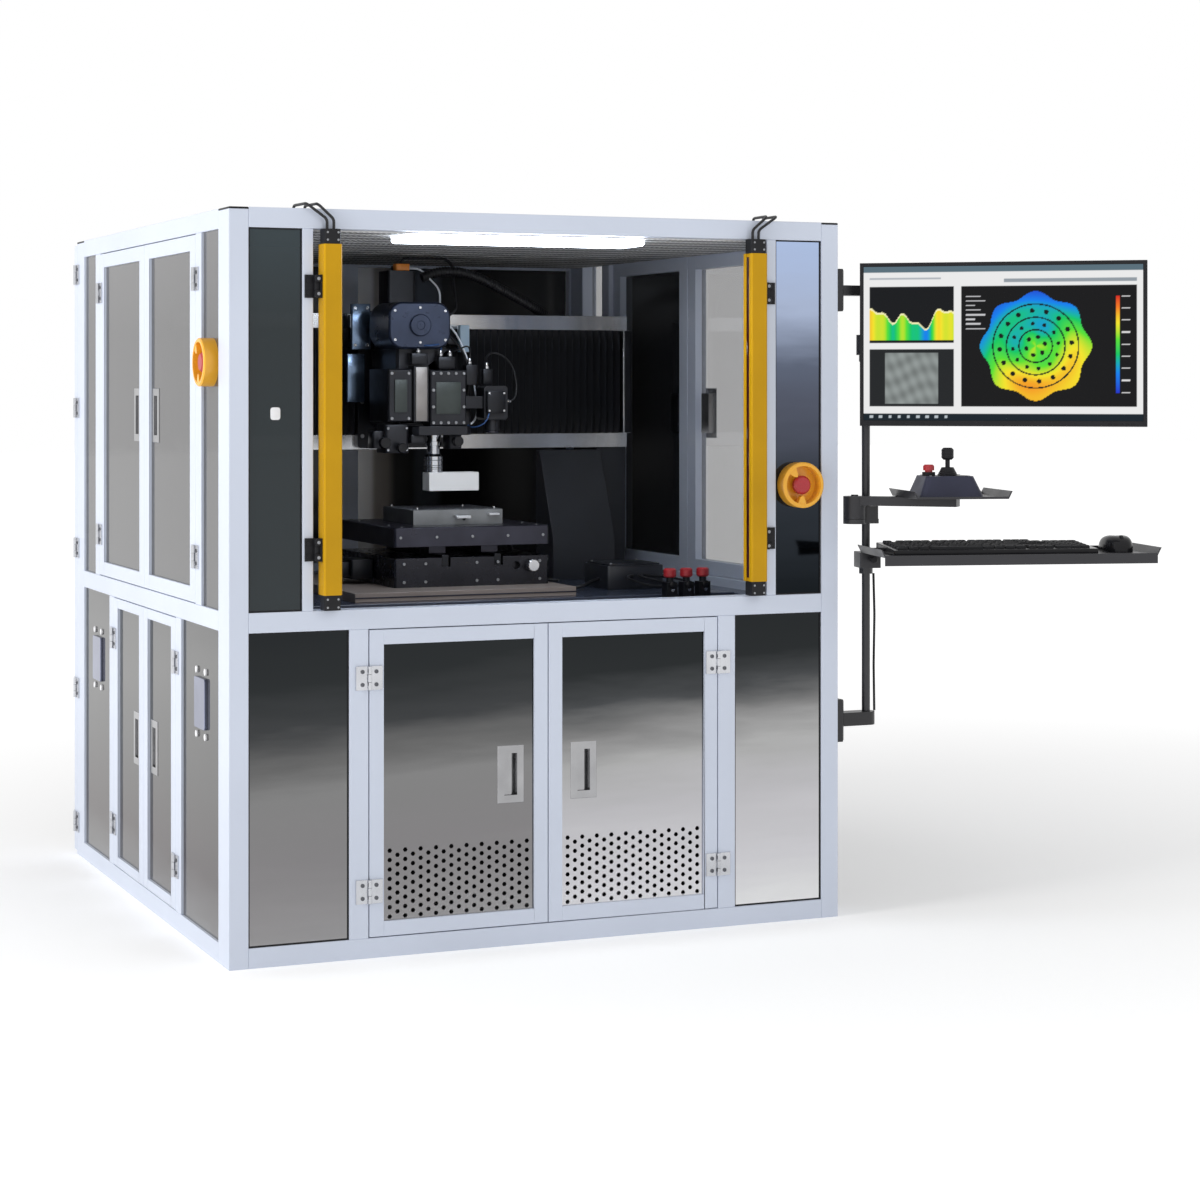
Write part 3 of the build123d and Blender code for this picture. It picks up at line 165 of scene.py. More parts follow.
def rough_by(material, size, low, high, stretch=(1, 1, 1)):
    """Roughness that wanders between two values, as handling and wear leave it."""
    node = add_node(material, "ShaderNodeMapRange", **{"To Min": low, "To Max": high})
    links = material.node_tree.links
    links.new(noise(material, size, 4.0, stretch), node.inputs["Value"])
    links.new(node.outputs["Result"], shader_of(material).inputs["Roughness"])
    return material


def bumped(material, size, depth, stretch=(1, 1, 1), strength=0.5):
    """A fine relief of a depth in metres."""
    node = add_node(material, "ShaderNodeBump", Strength=strength, Distance=depth)
    links = material.node_tree.links
    links.new(noise(material, size, 2.0, stretch), node.inputs["Height"])
    links.new(node.outputs["Normal"], shader_of(material).inputs["Normal"])
    return material


def slanted(material, direction, offset, size):
    """A value that runs from 0 to 1 along a direction in the object's space."""
    coords = add_node(material, "ShaderNodeTexCoord")
    dot = add_node(material, "ShaderNodeVectorMath", operation="DOT_PRODUCT")
    dot.inputs[1].default_value = direction
    span = {"From Min": offset, "From Max": offset + size}
    reach = add_node(material, "ShaderNodeMapRange", **span)
    links = material.node_tree.links
    links.new(coords.outputs["Object"], dot.inputs[0])
    links.new(dot.outputs["Value"], reach.inputs["Value"])
    return reach.outputs["Result"]


def satin_frame():
    """Pale anodised bars with a faint brushed grain along them."""
    m = finish("satin_frame", (0.60, 0.65, 0.76), 0.36, spec=0.55)
    mottled(m, 3.0, 0.03)
    rough_by(m, 9.0, 0.30, 0.44)
    return bumped(m, 160.0, 0.00008, stretch=(1, 1, 0.05))


def steel_with_painted_reflection(name, levels, lean, start=0.0, size=0.75):
    """Mirror-polished sheet with a painted reflection in its colour: its tone falls with height, as
    a bright floor would leave it in the mirror.
    """
    m = finish(name, (0.4, 0.4, 0.41), 0.07, metal=1.0)
    value = slanted(m, (lean, 0, 1), start, size)
    # Painted reflection: noise that mottles the mirrored tones.
    painted_reflection_mottle = noise(m, 5.0, 8.0, (0.7, 0.7, 4.5))
    wander = add_node(m, "ShaderNodeMath", operation="MULTIPLY_ADD")
    wander.inputs[1].default_value = 0.12
    wander.inputs[2].default_value = -0.06
    total = add_node(m, "ShaderNodeMath", operation="ADD")
    links = m.node_tree.links
    links.new(painted_reflection_mottle, wander.inputs[0])
    links.new(value, total.inputs[0])
    links.new(wander.outputs[0], total.inputs[1])
    colour_by(m, total.outputs[0], levels)
    rough_by(m, 6.0, 0.05, 0.11)
    return bumped(m, 2.5, 0.0006, strength=0.25)


def grey(value, tint=(1.0, 1.0, 1.0)):
    """A grey with a slight tint."""
    return tuple(value * t for t in tint)


def tones(*rows):
    """Colour stops from rows of a position, a grey and its tint."""
    return [(row[0], grey(*row[1:])) for row in rows]


# Tints for the dark tones of the painted reflections below.
cool_reflection_tint, cold_reflection_tint = (0.95, 1.0, 1.05), (0.9, 1.0, 1.1)


# Painted reflections: each sheet's tones by height stand for what polished steel mirrors, light low
# down and dark higher up; the side's reddish band is one too.
front_steel = steel_with_painted_reflection(
    "polished_front_steel_left_painted_reflection",
    tones(
        (0, 0.34), (0.16, 0.27, (1.0, 0.97, 0.98)), (0.32, 0.22, (1.0, 0.97, 0.99)),
        (0.5, 0.20), (0.58, 0.12), (0.68, 0.045, cool_reflection_tint), (0.8, 0.026, (0.9, 1.0, 1.05)),
        (1, 0.022, cold_reflection_tint),
    ),
    -0.08,
)
bright_front_steel = steel_with_painted_reflection(
    "polished_front_steel_right_painted_reflection",
    tones(
        (0, 0.74), (0.14, 0.60, (1.0, 0.99, 1.03)), (0.34, 0.46, (1.0, 0.99, 1.03)),
        (0.46, 0.36), (0.56, 0.18), (0.64, 0.06, cool_reflection_tint), (0.72, 0.025, (0.9, 1.0, 1.05)),
        (1, 0.020, cold_reflection_tint),
    ),
    -0.08,
)
side_steel = steel_with_painted_reflection(
    "polished_side_steel_painted_reflection",
    tones(
        (0, 0.18), (0.2, 0.045, (1.2, 0.9, 0.9)), (0.45, 0.060, (1.02, 1.0, 0.98)),
        (0.8, 0.068, (1.0, 1.0, 0.99)), (1, 0.02),
    ),
    0.0,
)
shader_of(side_steel).inputs["Metallic"].default_value = 0.5
shader_of(side_steel).inputs["Specular IOR Level"].default_value = 0.2


def rear_steel_painted_reflection():
    """The back doors' polished sheet with a painted reflection across its width: bright bands where
    it would mirror the left side, else dark.
    """
    m = finish("polished_rear_steel_painted_reflection", (0.1, 0.1, 0.11), 0.16, metal=0.45)
    stops = tones(
        (0, 0.52), (0.12, 0.42, (1.0, 0.97, 0.92)), (0.2, 0.12, (1.0, 0.97, 0.92)),
        (0.28, 0.03), (0.5, 0.02), (0.525, 0.60, (0.95, 0.98, 1.0)), (0.565, 0.62),
        (0.575, 0.24, (1.1, 1.0, 0.9)), (0.6, 0.20, (1.1, 1.0, 0.9)), (0.615, 0.025),
        (0.65, 0.03), (0.665, 0.13, (0.85, 0.95, 1.1)), (0.7, 0.10, (0.85, 0.95, 1.1)),
        (0.715, 0.02), (1, 0.04),
    )
    colour_by(m, slanted(m, (1, 0, 0), -0.66, 1.32), stops)
    rough_by(m, 5.0, 0.10, 0.24)
    return bumped(m, 3.0, 0.0006, strength=0.25)


def brushed_steel(name, colour, rough):
    """Bare steel with short scratches."""
    m = finish(name, colour, rough, metal=1.0)
    mottled(m, 14.0, 0.10)
    rough_by(m, 60.0, rough * 0.7, rough * 1.5, (1, 1, 0.1))
    return bumped(m, 700.0, 0.00004, stretch=(1, 1, 0.06), strength=0.3)


def smoked(name, colour, alpha, tint):
    """Smoked clear sheet: dark, glossy, see-through by its alpha, with a painted reflection
    lightening its top.
    """
    m = finish(name, colour, 0.05, spec=0.42, alpha=alpha)
    # Painted reflection: the top of the sheet lightens to the colour times the tint.
    lighter = tuple(c * tint for c in colour)
    colour_by(m, slanted(m, (0, 0, 1), 0.7, 0.76), [(0.0, colour), (0.75, colour), (1.0, lighter)])
    rough_by(m, 8.0, 0.03, 0.09)
    return m


# Painted reflection: the upper right front sheet runs from near black low down to pale blue at its
# top.
mouth_panel = steel_with_painted_reflection(
    "polished_mouth_panel_painted_reflection",
    tones(
        (0, 0.012, (0.8, 1.0, 1.2)), (0.3, 0.035, (0.8, 0.95, 1.2)),
        (0.52, 0.10, (0.85, 0.95, 1.3)), (0.66, 0.13, (0.85, 1.0, 1.4)),
        (0.82, 0.46, (0.85, 1.0, 1.35)), (1, 0.52, (0.8, 1.0, 1.45)),
    ),
    0.0,
    0.70,
    0.76,
)
front_acrylic = smoked("smoked_front_acrylic", (0.012, 0.020, 0.024), 0.94, 2.0)
left_acrylic = smoked("smoked_left_acrylic", (0.074, 0.073, 0.075), 0.90, 1.5)
right_acrylic = smoked("smoked_right_acrylic", (0.20, 0.198, 0.205), 0.44, 1.0)
far_acrylic = smoked("smoked_far_acrylic", (0.008, 0.009, 0.012), 0.96, 1.0)
ceiling_sheet = finish("perforated_ceiling", (0.4, 0.4, 0.41), 0.6, spec=0.05)


def perforated_ceiling():
    """Rows of small holes, drawn by how far a place is from its row's nearest centre. The
    scale's zero makes the rows independent of height."""
    m = ceiling_sheet
    links = m.node_tree.links
    place_at = place(m, (83.0, 11.0, 0.0))
    cell = add_node(m, "ShaderNodeTexVoronoi", Scale=1.0, Randomness=0.0)
    links.new(place_at, cell.inputs["Vector"])
    stops = tones((0, 0.004), (0.3, 0.004), (0.34, 0.70), (1, 0.50))
    colour_by(m, cell.outputs["Distance"], stops)
    rough_by(m, 5.0, 0.5, 0.8)


perforated_ceiling()


def moulded(name, colour, rough=0.45):
    """Moulded plastic with a fine leathered grain."""
    m = finish(name, colour, rough, spec=0.22)
    mottled(m, 20.0, 0.12)
    rough_by(m, 30.0, rough * 0.8, rough * 1.25)
    return bumped(m, 900.0, 0.00006, strength=0.35)


def coated(name, colour, rough, spread=0.08):
    """Powder coat with its faint orange peel."""
    m = finish(name, colour, rough, spec=0.5)
    mottled(m, 6.0, spread)
    rough_by(m, 16.0, rough * 0.8, rough * 1.3)
    return bumped(m, 450.0, 0.00005, strength=0.3)


def anodised(name, colour, rough=0.32, metal=0.6):
    """Dark anodised aluminium with machining marks."""
    m = finish(name, colour, rough, metal=metal, spec=0.5)
    mottled(m, 18.0, 0.18)
    rough_by(m, 40.0, rough * 0.75, rough * 1.35)
    return bumped(m, 500.0, 0.00005, stretch=(0.1, 1, 1), strength=0.3)


frame_satin = satin_frame()
back_steel = rear_steel_painted_reflection()
steel_bright = brushed_steel("bright_steel", (0.62, 0.63, 0.65), 0.2)
steel_hinge = brushed_steel("hinge_steel", (0.56, 0.57, 0.60), 0.24)
steel_pull = brushed_steel("pull_steel", (0.36, 0.36, 0.37), 0.2)
screw_dark = brushed_steel("screw_dark", (0.13, 0.135, 0.15), 0.3)
steel_screw = brushed_steel("screw_steel", (0.33, 0.34, 0.36), 0.3)
steel_barrel = brushed_steel("barrel_steel", (0.50, 0.52, 0.56), 0.16)
black_plastic = moulded("black_plastic", (0.012, 0.012, 0.014))
black_gloss = moulded("black_gloss", (0.010, 0.010, 0.012), 0.18)
black_metal = anodised("black_anodised", (0.016, 0.017, 0.021))
head_dark = anodised("head_dark", (0.022, 0.023, 0.028), 0.34)
head_grey = anodised("head_grey", (0.045, 0.055, 0.052), 0.34, 0.4)
head_bar = anodised("head_bar", (0.27, 0.25, 0.24), 0.36, 0.4)
lamp_blue = anodised("lamp_blue", (0.030, 0.040, 0.072), 0.28)
stage_dark = anodised("stage_dark", (0.035, 0.035, 0.050), 0.30)
stage_block = anodised("stage_block", (0.020, 0.020, 0.026), 0.26)
chuck_metal = anodised("chuck_metal", (0.20, 0.21, 0.22), 0.36, 0.7)
sub_plate_tan = coated("sub_plate_tan", (0.26, 0.22, 0.20), 0.4)
deck_blue_painted_reflection = coated("deck_blue_painted_reflection", (0.055, 0.064, 0.10), 0.16)
# Painted reflection: the deck plate lightens towards its left-front corner.
colour_by(
    deck_blue_painted_reflection,
    slanted(deck_blue_painted_reflection, (-0.80, -0.60, 0), 0.42, 0.26),
    [(0.0, (0.050, 0.060, 0.095)), (0.4, (0.075, 0.085, 0.13)), (1.0, (0.30, 0.31, 0.42))],
    True,
)
slab_blue = coated("slab_blue", (0.045, 0.055, 0.085), 0.20)
dark_coat = coated("dark_coat", (0.020, 0.022, 0.028), 0.32)
white_coat = coated("white_coat", (0.80, 0.80, 0.82), 0.4, 0.03)
arm_white = coated("arm_white", (0.86, 0.86, 0.86), 0.42, 0.02)
curtain_yellow = coated("curtain_yellow", (0.52, 0.28, 0.003), 0.45)
shader_of(curtain_yellow).inputs["Specular IOR Level"].default_value = 0.2
ring_yellow = coated("ring_yellow", (0.86, 0.42, 0.03), 0.22, 0.04)
button_red = coated("button_red", (0.42, 0.022, 0.030), 0.28)
tag_orange = coated("tag_orange", (0.80, 0.25, 0.02), 0.4)
mast_coat = coated("mast_coat", (0.024, 0.024, 0.028), 0.3)
tray_coat = coated("tray_coat", (0.018, 0.018, 0.022), 0.34)
bracket_coat = coated("bracket_coat", (0.010, 0.010, 0.012), 0.35)
joystick_blue = moulded("joystick_blue", (0.032, 0.034, 0.058), 0.4)
cover_blue = brushed_steel("cover_blue", (0.22, 0.24, 0.34), 0.16)
lens_glass = finish("lens_glass", (0.02, 0.02, 0.04), 0.03, coat=1.0, spec=0.8)
bolted_blue = anodised("polished_bracket", (0.16, 0.22, 0.32), 0.2, 0.9)


def sheath(name, colour):
    """A cable's smooth sheath."""
    m = finish(name, colour, 0.4, spec=0.4)
    rough_by(m, 120.0, 0.32, 0.52)
    return bumped(m, 300.0, 0.00005, strength=0.2)


cable_black = sheath("cable_black", (0.012, 0.012, 0.014))
cable_white = sheath("cable_white", (0.80, 0.84, 0.90))
cable_blue = sheath("cable_blue", (0.03, 0.08, 0.22))
plug_pale = sheath("plug_pale", (0.50, 0.66, 0.80))


def bellows_cloth():
    """Coated black cloth with a tight weave and worn ridges."""
    m = finish("bellows_cloth", (0.008, 0.009, 0.013), 0.5, spec=0.4)
    mottled(m, 30.0, 0.25, stretch=(1, 1, 0.2))
    shader_of(m).inputs["Sheen Weight"].default_value = 0.15
    return bumped(m, 1500.0, 0.00008, strength=0.4)


cloth_black = bellows_cloth()


def opal_lamp():
    """The lamp's diffuser, which glows softly."""
    m = finish("opal_lamp", (0.9, 0.93, 1.0), 0.4)
    shader_of(m).inputs["Emission Color"].default_value = (0.82, 0.9, 1.0, 1)
    shader_of(m).inputs["Emission Strength"].default_value = 15.0
    return m


lamp_opal = opal_lamp()


# Shapes
def piece(name, points, faces, material, body, smooth=35.0, slot=None):
    """A mesh object that rides on a body, smooth except where faces meet sharply."""
    mesh = bpy.data.meshes.new(name)
    mesh.from_pydata(np.asarray(points, float).tolist(), [], [list(f) for f in faces])
    mesh.polygons.foreach_set("use_smooth", np.ones(len(mesh.polygons), bool))
    mesh.set_sharp_from_angle(angle=math.radians(smooth))
    mesh.materials.append(material)
    mesh.update()
    obj = bpy.data.objects.new(name, mesh)
    bpy.context.scene.collection.objects.link(obj)
    if body:
        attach(obj, body)
    return obj


def join_shapes(shapes):
    """Several (points, faces) shapes as one."""
    points, faces, start = [], [], 0
    for p, f in shapes:
        points.append(np.asarray(p, float).reshape(-1, 3))
        faces.extend([[i + start for i in face] for face in f])
        start += len(points[-1])
    return np.concatenate(points), faces


def group(name, shapes, material, body):
    """Several shapes as one piece."""
    return piece(name, *join_shapes(shapes), material, body)


def ring_faces(rings, count, closed_ends=True):
    """Quads between successive rings of points, with a face across each end."""
    i = np.arange(rings - 1)[:, None] * count
    j = np.arange(count)[None, :]
    k = (j + 1) % count
    quads = np.stack([i + j, i + k, i + count + k, i + count + j], axis=-1).reshape(-1, 4)
    faces = quads.tolist()
    if closed_ends:
        faces.append(list(range(count))[::-1])
        faces.append(list(range((rings - 1) * count, rings * count)))
    return faces


def turn_to(axis):
    """A rotation matrix that takes +Z to the axis."""
    z = np.asarray(axis, float)
    z = z / np.linalg.norm(z)
    side = np.array([1.0, 0, 0]) if abs(z[0]) < 0.9 else np.array([0, 1.0, 0])
    x = np.cross(side, z)
    x = x / np.linalg.norm(x)
    return np.stack([x, np.cross(z, x), z], axis=1)


def turned(profile, origin, axis, sides):
    """A turned shape: each (radius, height) of the profile makes a circle,
    x = r cos a and y = r sin a, stacked along the axis from the origin. Millimetres."""
    profile = np.asarray(profile, float)
    a = np.linspace(0, 2 * math.pi, sides, endpoint=False)
    r, h = profile[:, 0][:, None], profile[:, 1][:, None]
    p = np.stack([r * np.cos(a), r * np.sin(a), h + 0 * a], axis=-1).reshape(-1, 3)
    p = p @ turn_to(axis).T + np.asarray(origin, float)
    return p * mm, ring_faces(len(profile), sides)


def rounded_outline(width, depth, corner):
    """A rectangle whose corners are quarter circles of the corner's radius."""
    corner = max(min(corner, width / 2 - 1e-3, depth / 2 - 1e-3), 1e-3)
    a = np.linspace(0, math.pi / 2, 4)
    out = []
    for k, (sx, sy) in enumerate(((1, 1), (-1, 1), (-1, -1), (1, -1))):
        cx, cy = sx * (width / 2 - corner), sy * (depth / 2 - corner)
        b = a + k * math.pi / 2
        out.append(np.stack([cx + corner * np.cos(b), cy + corner * np.sin(b)], axis=-1))
    return np.concatenate(out)


def soft_block(centre, size, corner, edge, axis=(0, 0, 1)):
    """A block with rounded corners and eased edges: a rounded rectangle carried along the
    axis, drawn in by the edge's radius at both ends along a quarter circle. Millimetres."""
    width, depth, height = size
    edge = min(edge, height / 2.01, corner if corner > 0.2 else edge)
    a = np.linspace(0, math.pi / 2, 3)
    inward, rise = edge * (1 - np.sin(a)), edge * (1 - np.cos(a))
    draw = np.concatenate([inward, rise])
    level = np.concatenate([-height / 2 + rise, height / 2 - inward])
    base = rounded_outline(width, depth, corner)
    reach = np.abs(base).max(axis=0)
    rings = []
    for d, z in zip(draw, level):
        ring = base * (1 - d / reach)
        rings.append(np.column_stack([ring, np.full(len(ring), z)]))
    p = np.concatenate(rings)
    p = p @ turn_to(axis).T if tuple(axis) != (0, 0, 1) else p
    return (p + np.asarray(centre, float)) * mm, ring_faces(len(draw), len(base))


def between(lo, hi, corner, edge):
    """A soft block between two corners, carried along Z. Millimetres."""
    lo, hi = np.asarray(lo, float), np.asarray(hi, float)
    return soft_block((lo + hi) / 2, hi - lo, corner, edge)


def blocks(*rows):
    """Soft blocks, each row giving its low corner, high corner and the radii of its
    corners and edges. Millimetres."""
    return [between(row[:3], row[3:6], *row[6:]) for row in rows]


def curve_points(route, count):
    """Points along a smooth line: a uniform cubic B-spline over the route, with its ends
    tripled so that it starts and stops on them."""
    r = np.asarray(route, float)
    r = np.concatenate([r[:1], r[:1], r, r[-1:], r[-1:]])
    t = np.linspace(0, 1, count, endpoint=False)[:, None]
    b0, b1 = (1 - t) ** 3 / 6, (3 * t**3 - 6 * t**2 + 4) / 6
    b2, b3 = (-3 * t**3 + 3 * t**2 + 3 * t + 1) / 6, t**3 / 6
    spans = [b0 * r[i] + b1 * r[i + 1] + b2 * r[i + 2] + b3 * r[i + 3] for i in range(len(r) - 3)]
    return np.concatenate([*spans, r[-1:]])


def smooth_line(route, count):
    """The same line without points that lie on each other."""
    line = curve_points(route, count)
    step = np.linalg.norm(np.diff(line, axis=0), axis=1)
    return line[np.concatenate([[True], step > 1e-4])]


def swept(line, radius, sides):
    """A circle carried square to a line; its radius may change along it. Millimetres."""
    along = np.gradient(line, axis=0)
    along /= np.linalg.norm(along, axis=1)[:, None]
    side = np.cross(along, (0.31, 0.17, 0.93))
    side /= np.linalg.norm(side, axis=1)[:, None]
    up = np.cross(along, side)
    a = np.linspace(0, 2 * math.pi, sides, endpoint=False)[None, :, None]
    round_line = side[:, None] * np.cos(a) + up[:, None] * np.sin(a)
    rings = line[:, None] + np.reshape(radius, (-1, 1, 1)) * round_line
    return rings.reshape(-1, 3) * mm, ring_faces(len(line), sides)


def tube(route, diameter, sides=10):
    """A round cable along a smooth line. Millimetres."""
    return swept(smooth_line(route, 10), diameter / 2, sides)


def ribbed_hose(route, diameter):
    """A corrugated conduit: its radius rises and falls with the distance along the line."""
    pitch = 7.0
    line = smooth_line(route, 60)
    step = np.linalg.norm(np.diff(line, axis=0), axis=1)
    reach = np.concatenate([[0], np.cumsum(step)])
    steps = np.arange(0, reach[-1], pitch / 6)
    line = np.stack([np.interp(steps, reach, line[:, k]) for k in range(3)], axis=-1)
    radius = diameter / 2 * (0.93 + 0.07 * np.cos(2 * math.pi * steps / pitch))
    return swept(line, radius, 14)


def solids(node):
    """The separate solids of a CAD node, as (points, triangles, low corner, high corner)."""
    mesh = nodes[node].data
    co = np.empty(len(mesh.vertices) * 3)
    mesh.vertices.foreach_get("co", co)
    corners = np.empty(len(mesh.loops), np.int64)
    mesh.loops.foreach_get("vertex_index", corners)
    grid = np.round(co.reshape(-1, 3) / 2e-6).astype(np.int64)
    _, first, inverse = np.unique(grid, axis=0, return_index=True, return_inverse=True)
    points = co.reshape(-1, 3)[first]
    triangles = inverse.reshape(-1)[corners].reshape(-1, 3)
    label = np.arange(len(points))
    while True:
        low = label[triangles].min(axis=1)
        fresh = label.copy()
        np.minimum.at(fresh, triangles.ravel(), np.repeat(low, 3))
        fresh = fresh[fresh]
        if (fresh == label).all():
            break
        label = fresh
    out = []
    for tag in np.unique(label[triangles[:, 0]]):
        chosen = triangles[label[triangles[:, 0]] == tag]
        used, local = np.unique(chosen, return_inverse=True)
        p = points[used]
        f = local.reshape(-1, 3)
        sound = (f[:, 0] != f[:, 1]) & (f[:, 1] != f[:, 2]) & (f[:, 0] != f[:, 2])
        out.append((p, f[sound], p.min(axis=0) * 1000, p.max(axis=0) * 1000))
    return out


def ease_edges(obj, width):
    """Rounds an object's sharp edges by a width in millimetres."""
    flat = obj.modifiers.new("flat", "DECIMATE")
    flat.decimate_type = "DISSOLVE"
    flat.angle_limit = math.radians(0.6)
    ease = obj.modifiers.new("ease", "BEVEL")
    ease.width = width * mm
    ease.segments = 2
    ease.limit_method = "ANGLE"
    ease.angle_limit = math.radians(40)
    ease.harden_normals = False


def refit(node, rules, default, ease=0.0):
    """Stands copies of a node's solids in its place, grouped by material. Each rule is
    (word, test of low and high corner, material, ease)."""
    groups = {}
    for p, f, lo, hi in solids(node):
        for word, test, material, width in rules:
            if test(lo, hi):
                break
        else:
            word, material, width = "main", default, ease
        groups.setdefault(word, (material, width, []))[2].append((p, f.tolist()))
    made = []
    for word, (material, width, shapes) in groups.items():
        p, f = join_shapes(shapes)
        obj = piece(f"{node}_{word}", p, f, material, body_of_node[node])
        if width:
            ease_edges(obj, width)
        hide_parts(node)
        made.append(obj)
    return made


def dress(node, material):
    """Gives a CAD node its finish."""
    data = nodes[node].data
    data.materials.clear()
    data.materials.append(material)


# Frame and panels
def cabinet():
    """Bars, caps, fixed panels, roof, deck, ceiling, lamp, slab, isolators and electronics."""
    for node in ("corner_posts", "frame_rails"):
        refit(node, [], frame_satin, 1.2)
    refit("post_caps", [], black_plastic, 0.6)
    refit(
        "fixed_acrylic_panels",
        [
            ("mouth", lambda lo, hi: hi[1] < -690 and lo[0] > 0, mouth_panel, 0),
            ("front", lambda lo, hi: hi[1] < -690, front_acrylic, 0),
            ("left", lambda lo, hi: hi[0] < -600, left_acrylic, 0),
        ],
        right_acrylic,
    )
    refit(
        "fixed_steel_panels",
        [
            ("front_left", lambda lo, hi: hi[1] < -690 and lo[0] < 0, front_steel, 0),
            ("front_right", lambda lo, hi: hi[1] < -690, bright_front_steel, 0),
        ],
        side_steel,
    )
    dress("roof_panel", white_coat)
    dress("base_pan", white_coat)
    dress("deck_plate", deck_blue_painted_reflection)
    dress("ceiling_grille", ceiling_sheet)
    refit("ceiling_light", [], lamp_opal, 0.8)
    refit("base_slab", [], slab_blue, 2.0)
    refit("isolators", [("legs", lambda lo, hi: hi[2] < 345, dark_coat, 1.0)], black_metal, 1.0)
    refit("control_cabinet", [], dark_coat, 1.0)


# A door's solids are told apart by their sizes in millimetres
def is_pull(lo, hi):
    size = sorted(hi - lo)
    return size[2] < 120 and size[1] < 60 and size[0] < 20


def is_hinge(lo, hi):
    return hi[2] - lo[2] < 50


def thin(lo, hi):
    return min(hi - lo) < 5.5


def doors():
    """Leaves: satin bars, polished hinges and pulls, and panels of steel or acrylic."""
    for node in bodies:
        if not node.endswith("_door"):
            continue
        side = "front" if node.startswith("front") else node.split("_")[0]
        steel = front_steel if node == "front_left_door" else bright_front_steel
        sheet = {"left": left_acrylic, "right": right_acrylic}.get(side, steel)
        if "lower" in node:
            sheet = side_steel
        if side == "rear":
            sheet = back_steel
        if node == "right_upper_rear_door":
            sheet = far_acrylic
        rules = [
            ("hinges", is_hinge, steel_hinge, 0.3),
            ("pull", is_pull, steel_pull, 0),
            ("sheet", thin, sheet, 0),
        ]
        for member in bodies[node]:
            refit(member, rules, frame_satin, 0.9)


def screw(origin, axis, radius, height):
    """A socket screw: a turned head with an eased rim and a six-sided recess."""
    rim = [(radius, 0), (radius, height * 0.7), (radius * 0.86, height), (radius * 0.52, height)]
    p, f = turned(rim, origin, axis, 18)
    f = f[:-2]
    inner, g = turned([(radius * 0.52, height), (radius * 0.5, height * 0.35)], origin, axis, 6)
    f2 = [face[::-1] for face in g[:6]]
    floor = [list(range(6, 12))]
    collar, h = turned([(radius * 0.52, height), (radius * 0.4, height * 0.94)], origin, axis, 18)
    return join_shapes([(p, f), (collar, h[:-2]), (inner, f2 + floor)])


def walls(side):
    """World place of a point given along a wall, out of it and up, and the wall's normal."""
    return {
        "front": (lambda s, out, z: (s, -front_face - out, z), forward),
        "left": (lambda s, out, z: (-side_face - out, s, z), (-1, 0, 0)),
        "right": (lambda s, out, z: (side_face + out, s, z), (1, 0, 0)),
    }[side]


def hinge_screws():
    """Two screws in every hinge leaf, each riding with its own leaf."""
    groups = {}
    for node in ["hinge_leaves"] + [m for b in bodies if b.endswith("_door") for m in bodies[b]]:
        for _, _, lo, hi in solids(node):
            if not is_hinge(lo, hi) or hi[2] - lo[2] < 30:
                continue
            mid = (lo + hi) / 2
            if lo[1] < -708:
                side, along, pins = "front", mid[0], (-387, 387)
            else:
                side, along = "left" if mid[0] < 0 else "right", mid[1]
                pins = (-449, 455, -282, 306, 710.5)
            knuckle = min(pins, key=lambda pin: abs(pin - along))
            s = along + (2.8 if along > knuckle else -2.8)
            at, normal = walls(side)
            for dz in (-13, 13):
                groups.setdefault(body_of_node[node], []).append(
                    screw(at(s, 3.0, mid[2] + dz), normal, 4.2, 1.8)
                )
    for body, shapes in groups.items():
        group(f"{body}_hinge_screws", shapes, screw_dark, body)


def hardware():
    """Hinge leaves, covers, the light curtain, stops, cables, the station and the valves."""
    refit("hinge_leaves", [], steel_hinge, 0.3)
    studs = ("studs", lambda lo, hi: hi[2] - lo[2] < 20, white_coat, 0.6)
    refit("utility_covers", [studs], cover_blue, 0.8)
    refit("curtain_housings", [], curtain_yellow, 0.6)
    refit("curtain_fittings", [], black_plastic, 0.8)
    contacts = ("contacts", lambda lo, hi: hi[2] - lo[2] < 45, black_plastic, 0.8)
    refit("stop_shrouds", [contacts], ring_yellow)
    dress("front_stop_button", button_red)
    dress("side_stop_button", button_red)
    dress("cable_runs", cable_black)
    bolts = ("bolts", lambda lo, hi: max(hi - lo) < 14, steel_screw, 0.4)
    refit("station_brackets", [bolts], bracket_coat, 0.8)
    refit("station_mast", [], mast_coat, 0.5)
    refit("monitor_arm", [], mast_coat, 0.8)
    refit("joystick_arm", [], tray_coat, 0.6)
    refit("keyboard_tray", [], tray_coat, 0.6)
    dress("joystick_stick", black_plastic)
    dress("joystick_button", button_red)
    soft = ("soft", lambda lo, hi: hi[0] - lo[0] < 60, black_plastic, 0.3)
    refit("joystick_base", [soft], joystick_blue)
    refit("air_valves", [("caps", lambda lo, hi: lo[2] > 715, button_red, 0)], black_metal, 0.8)


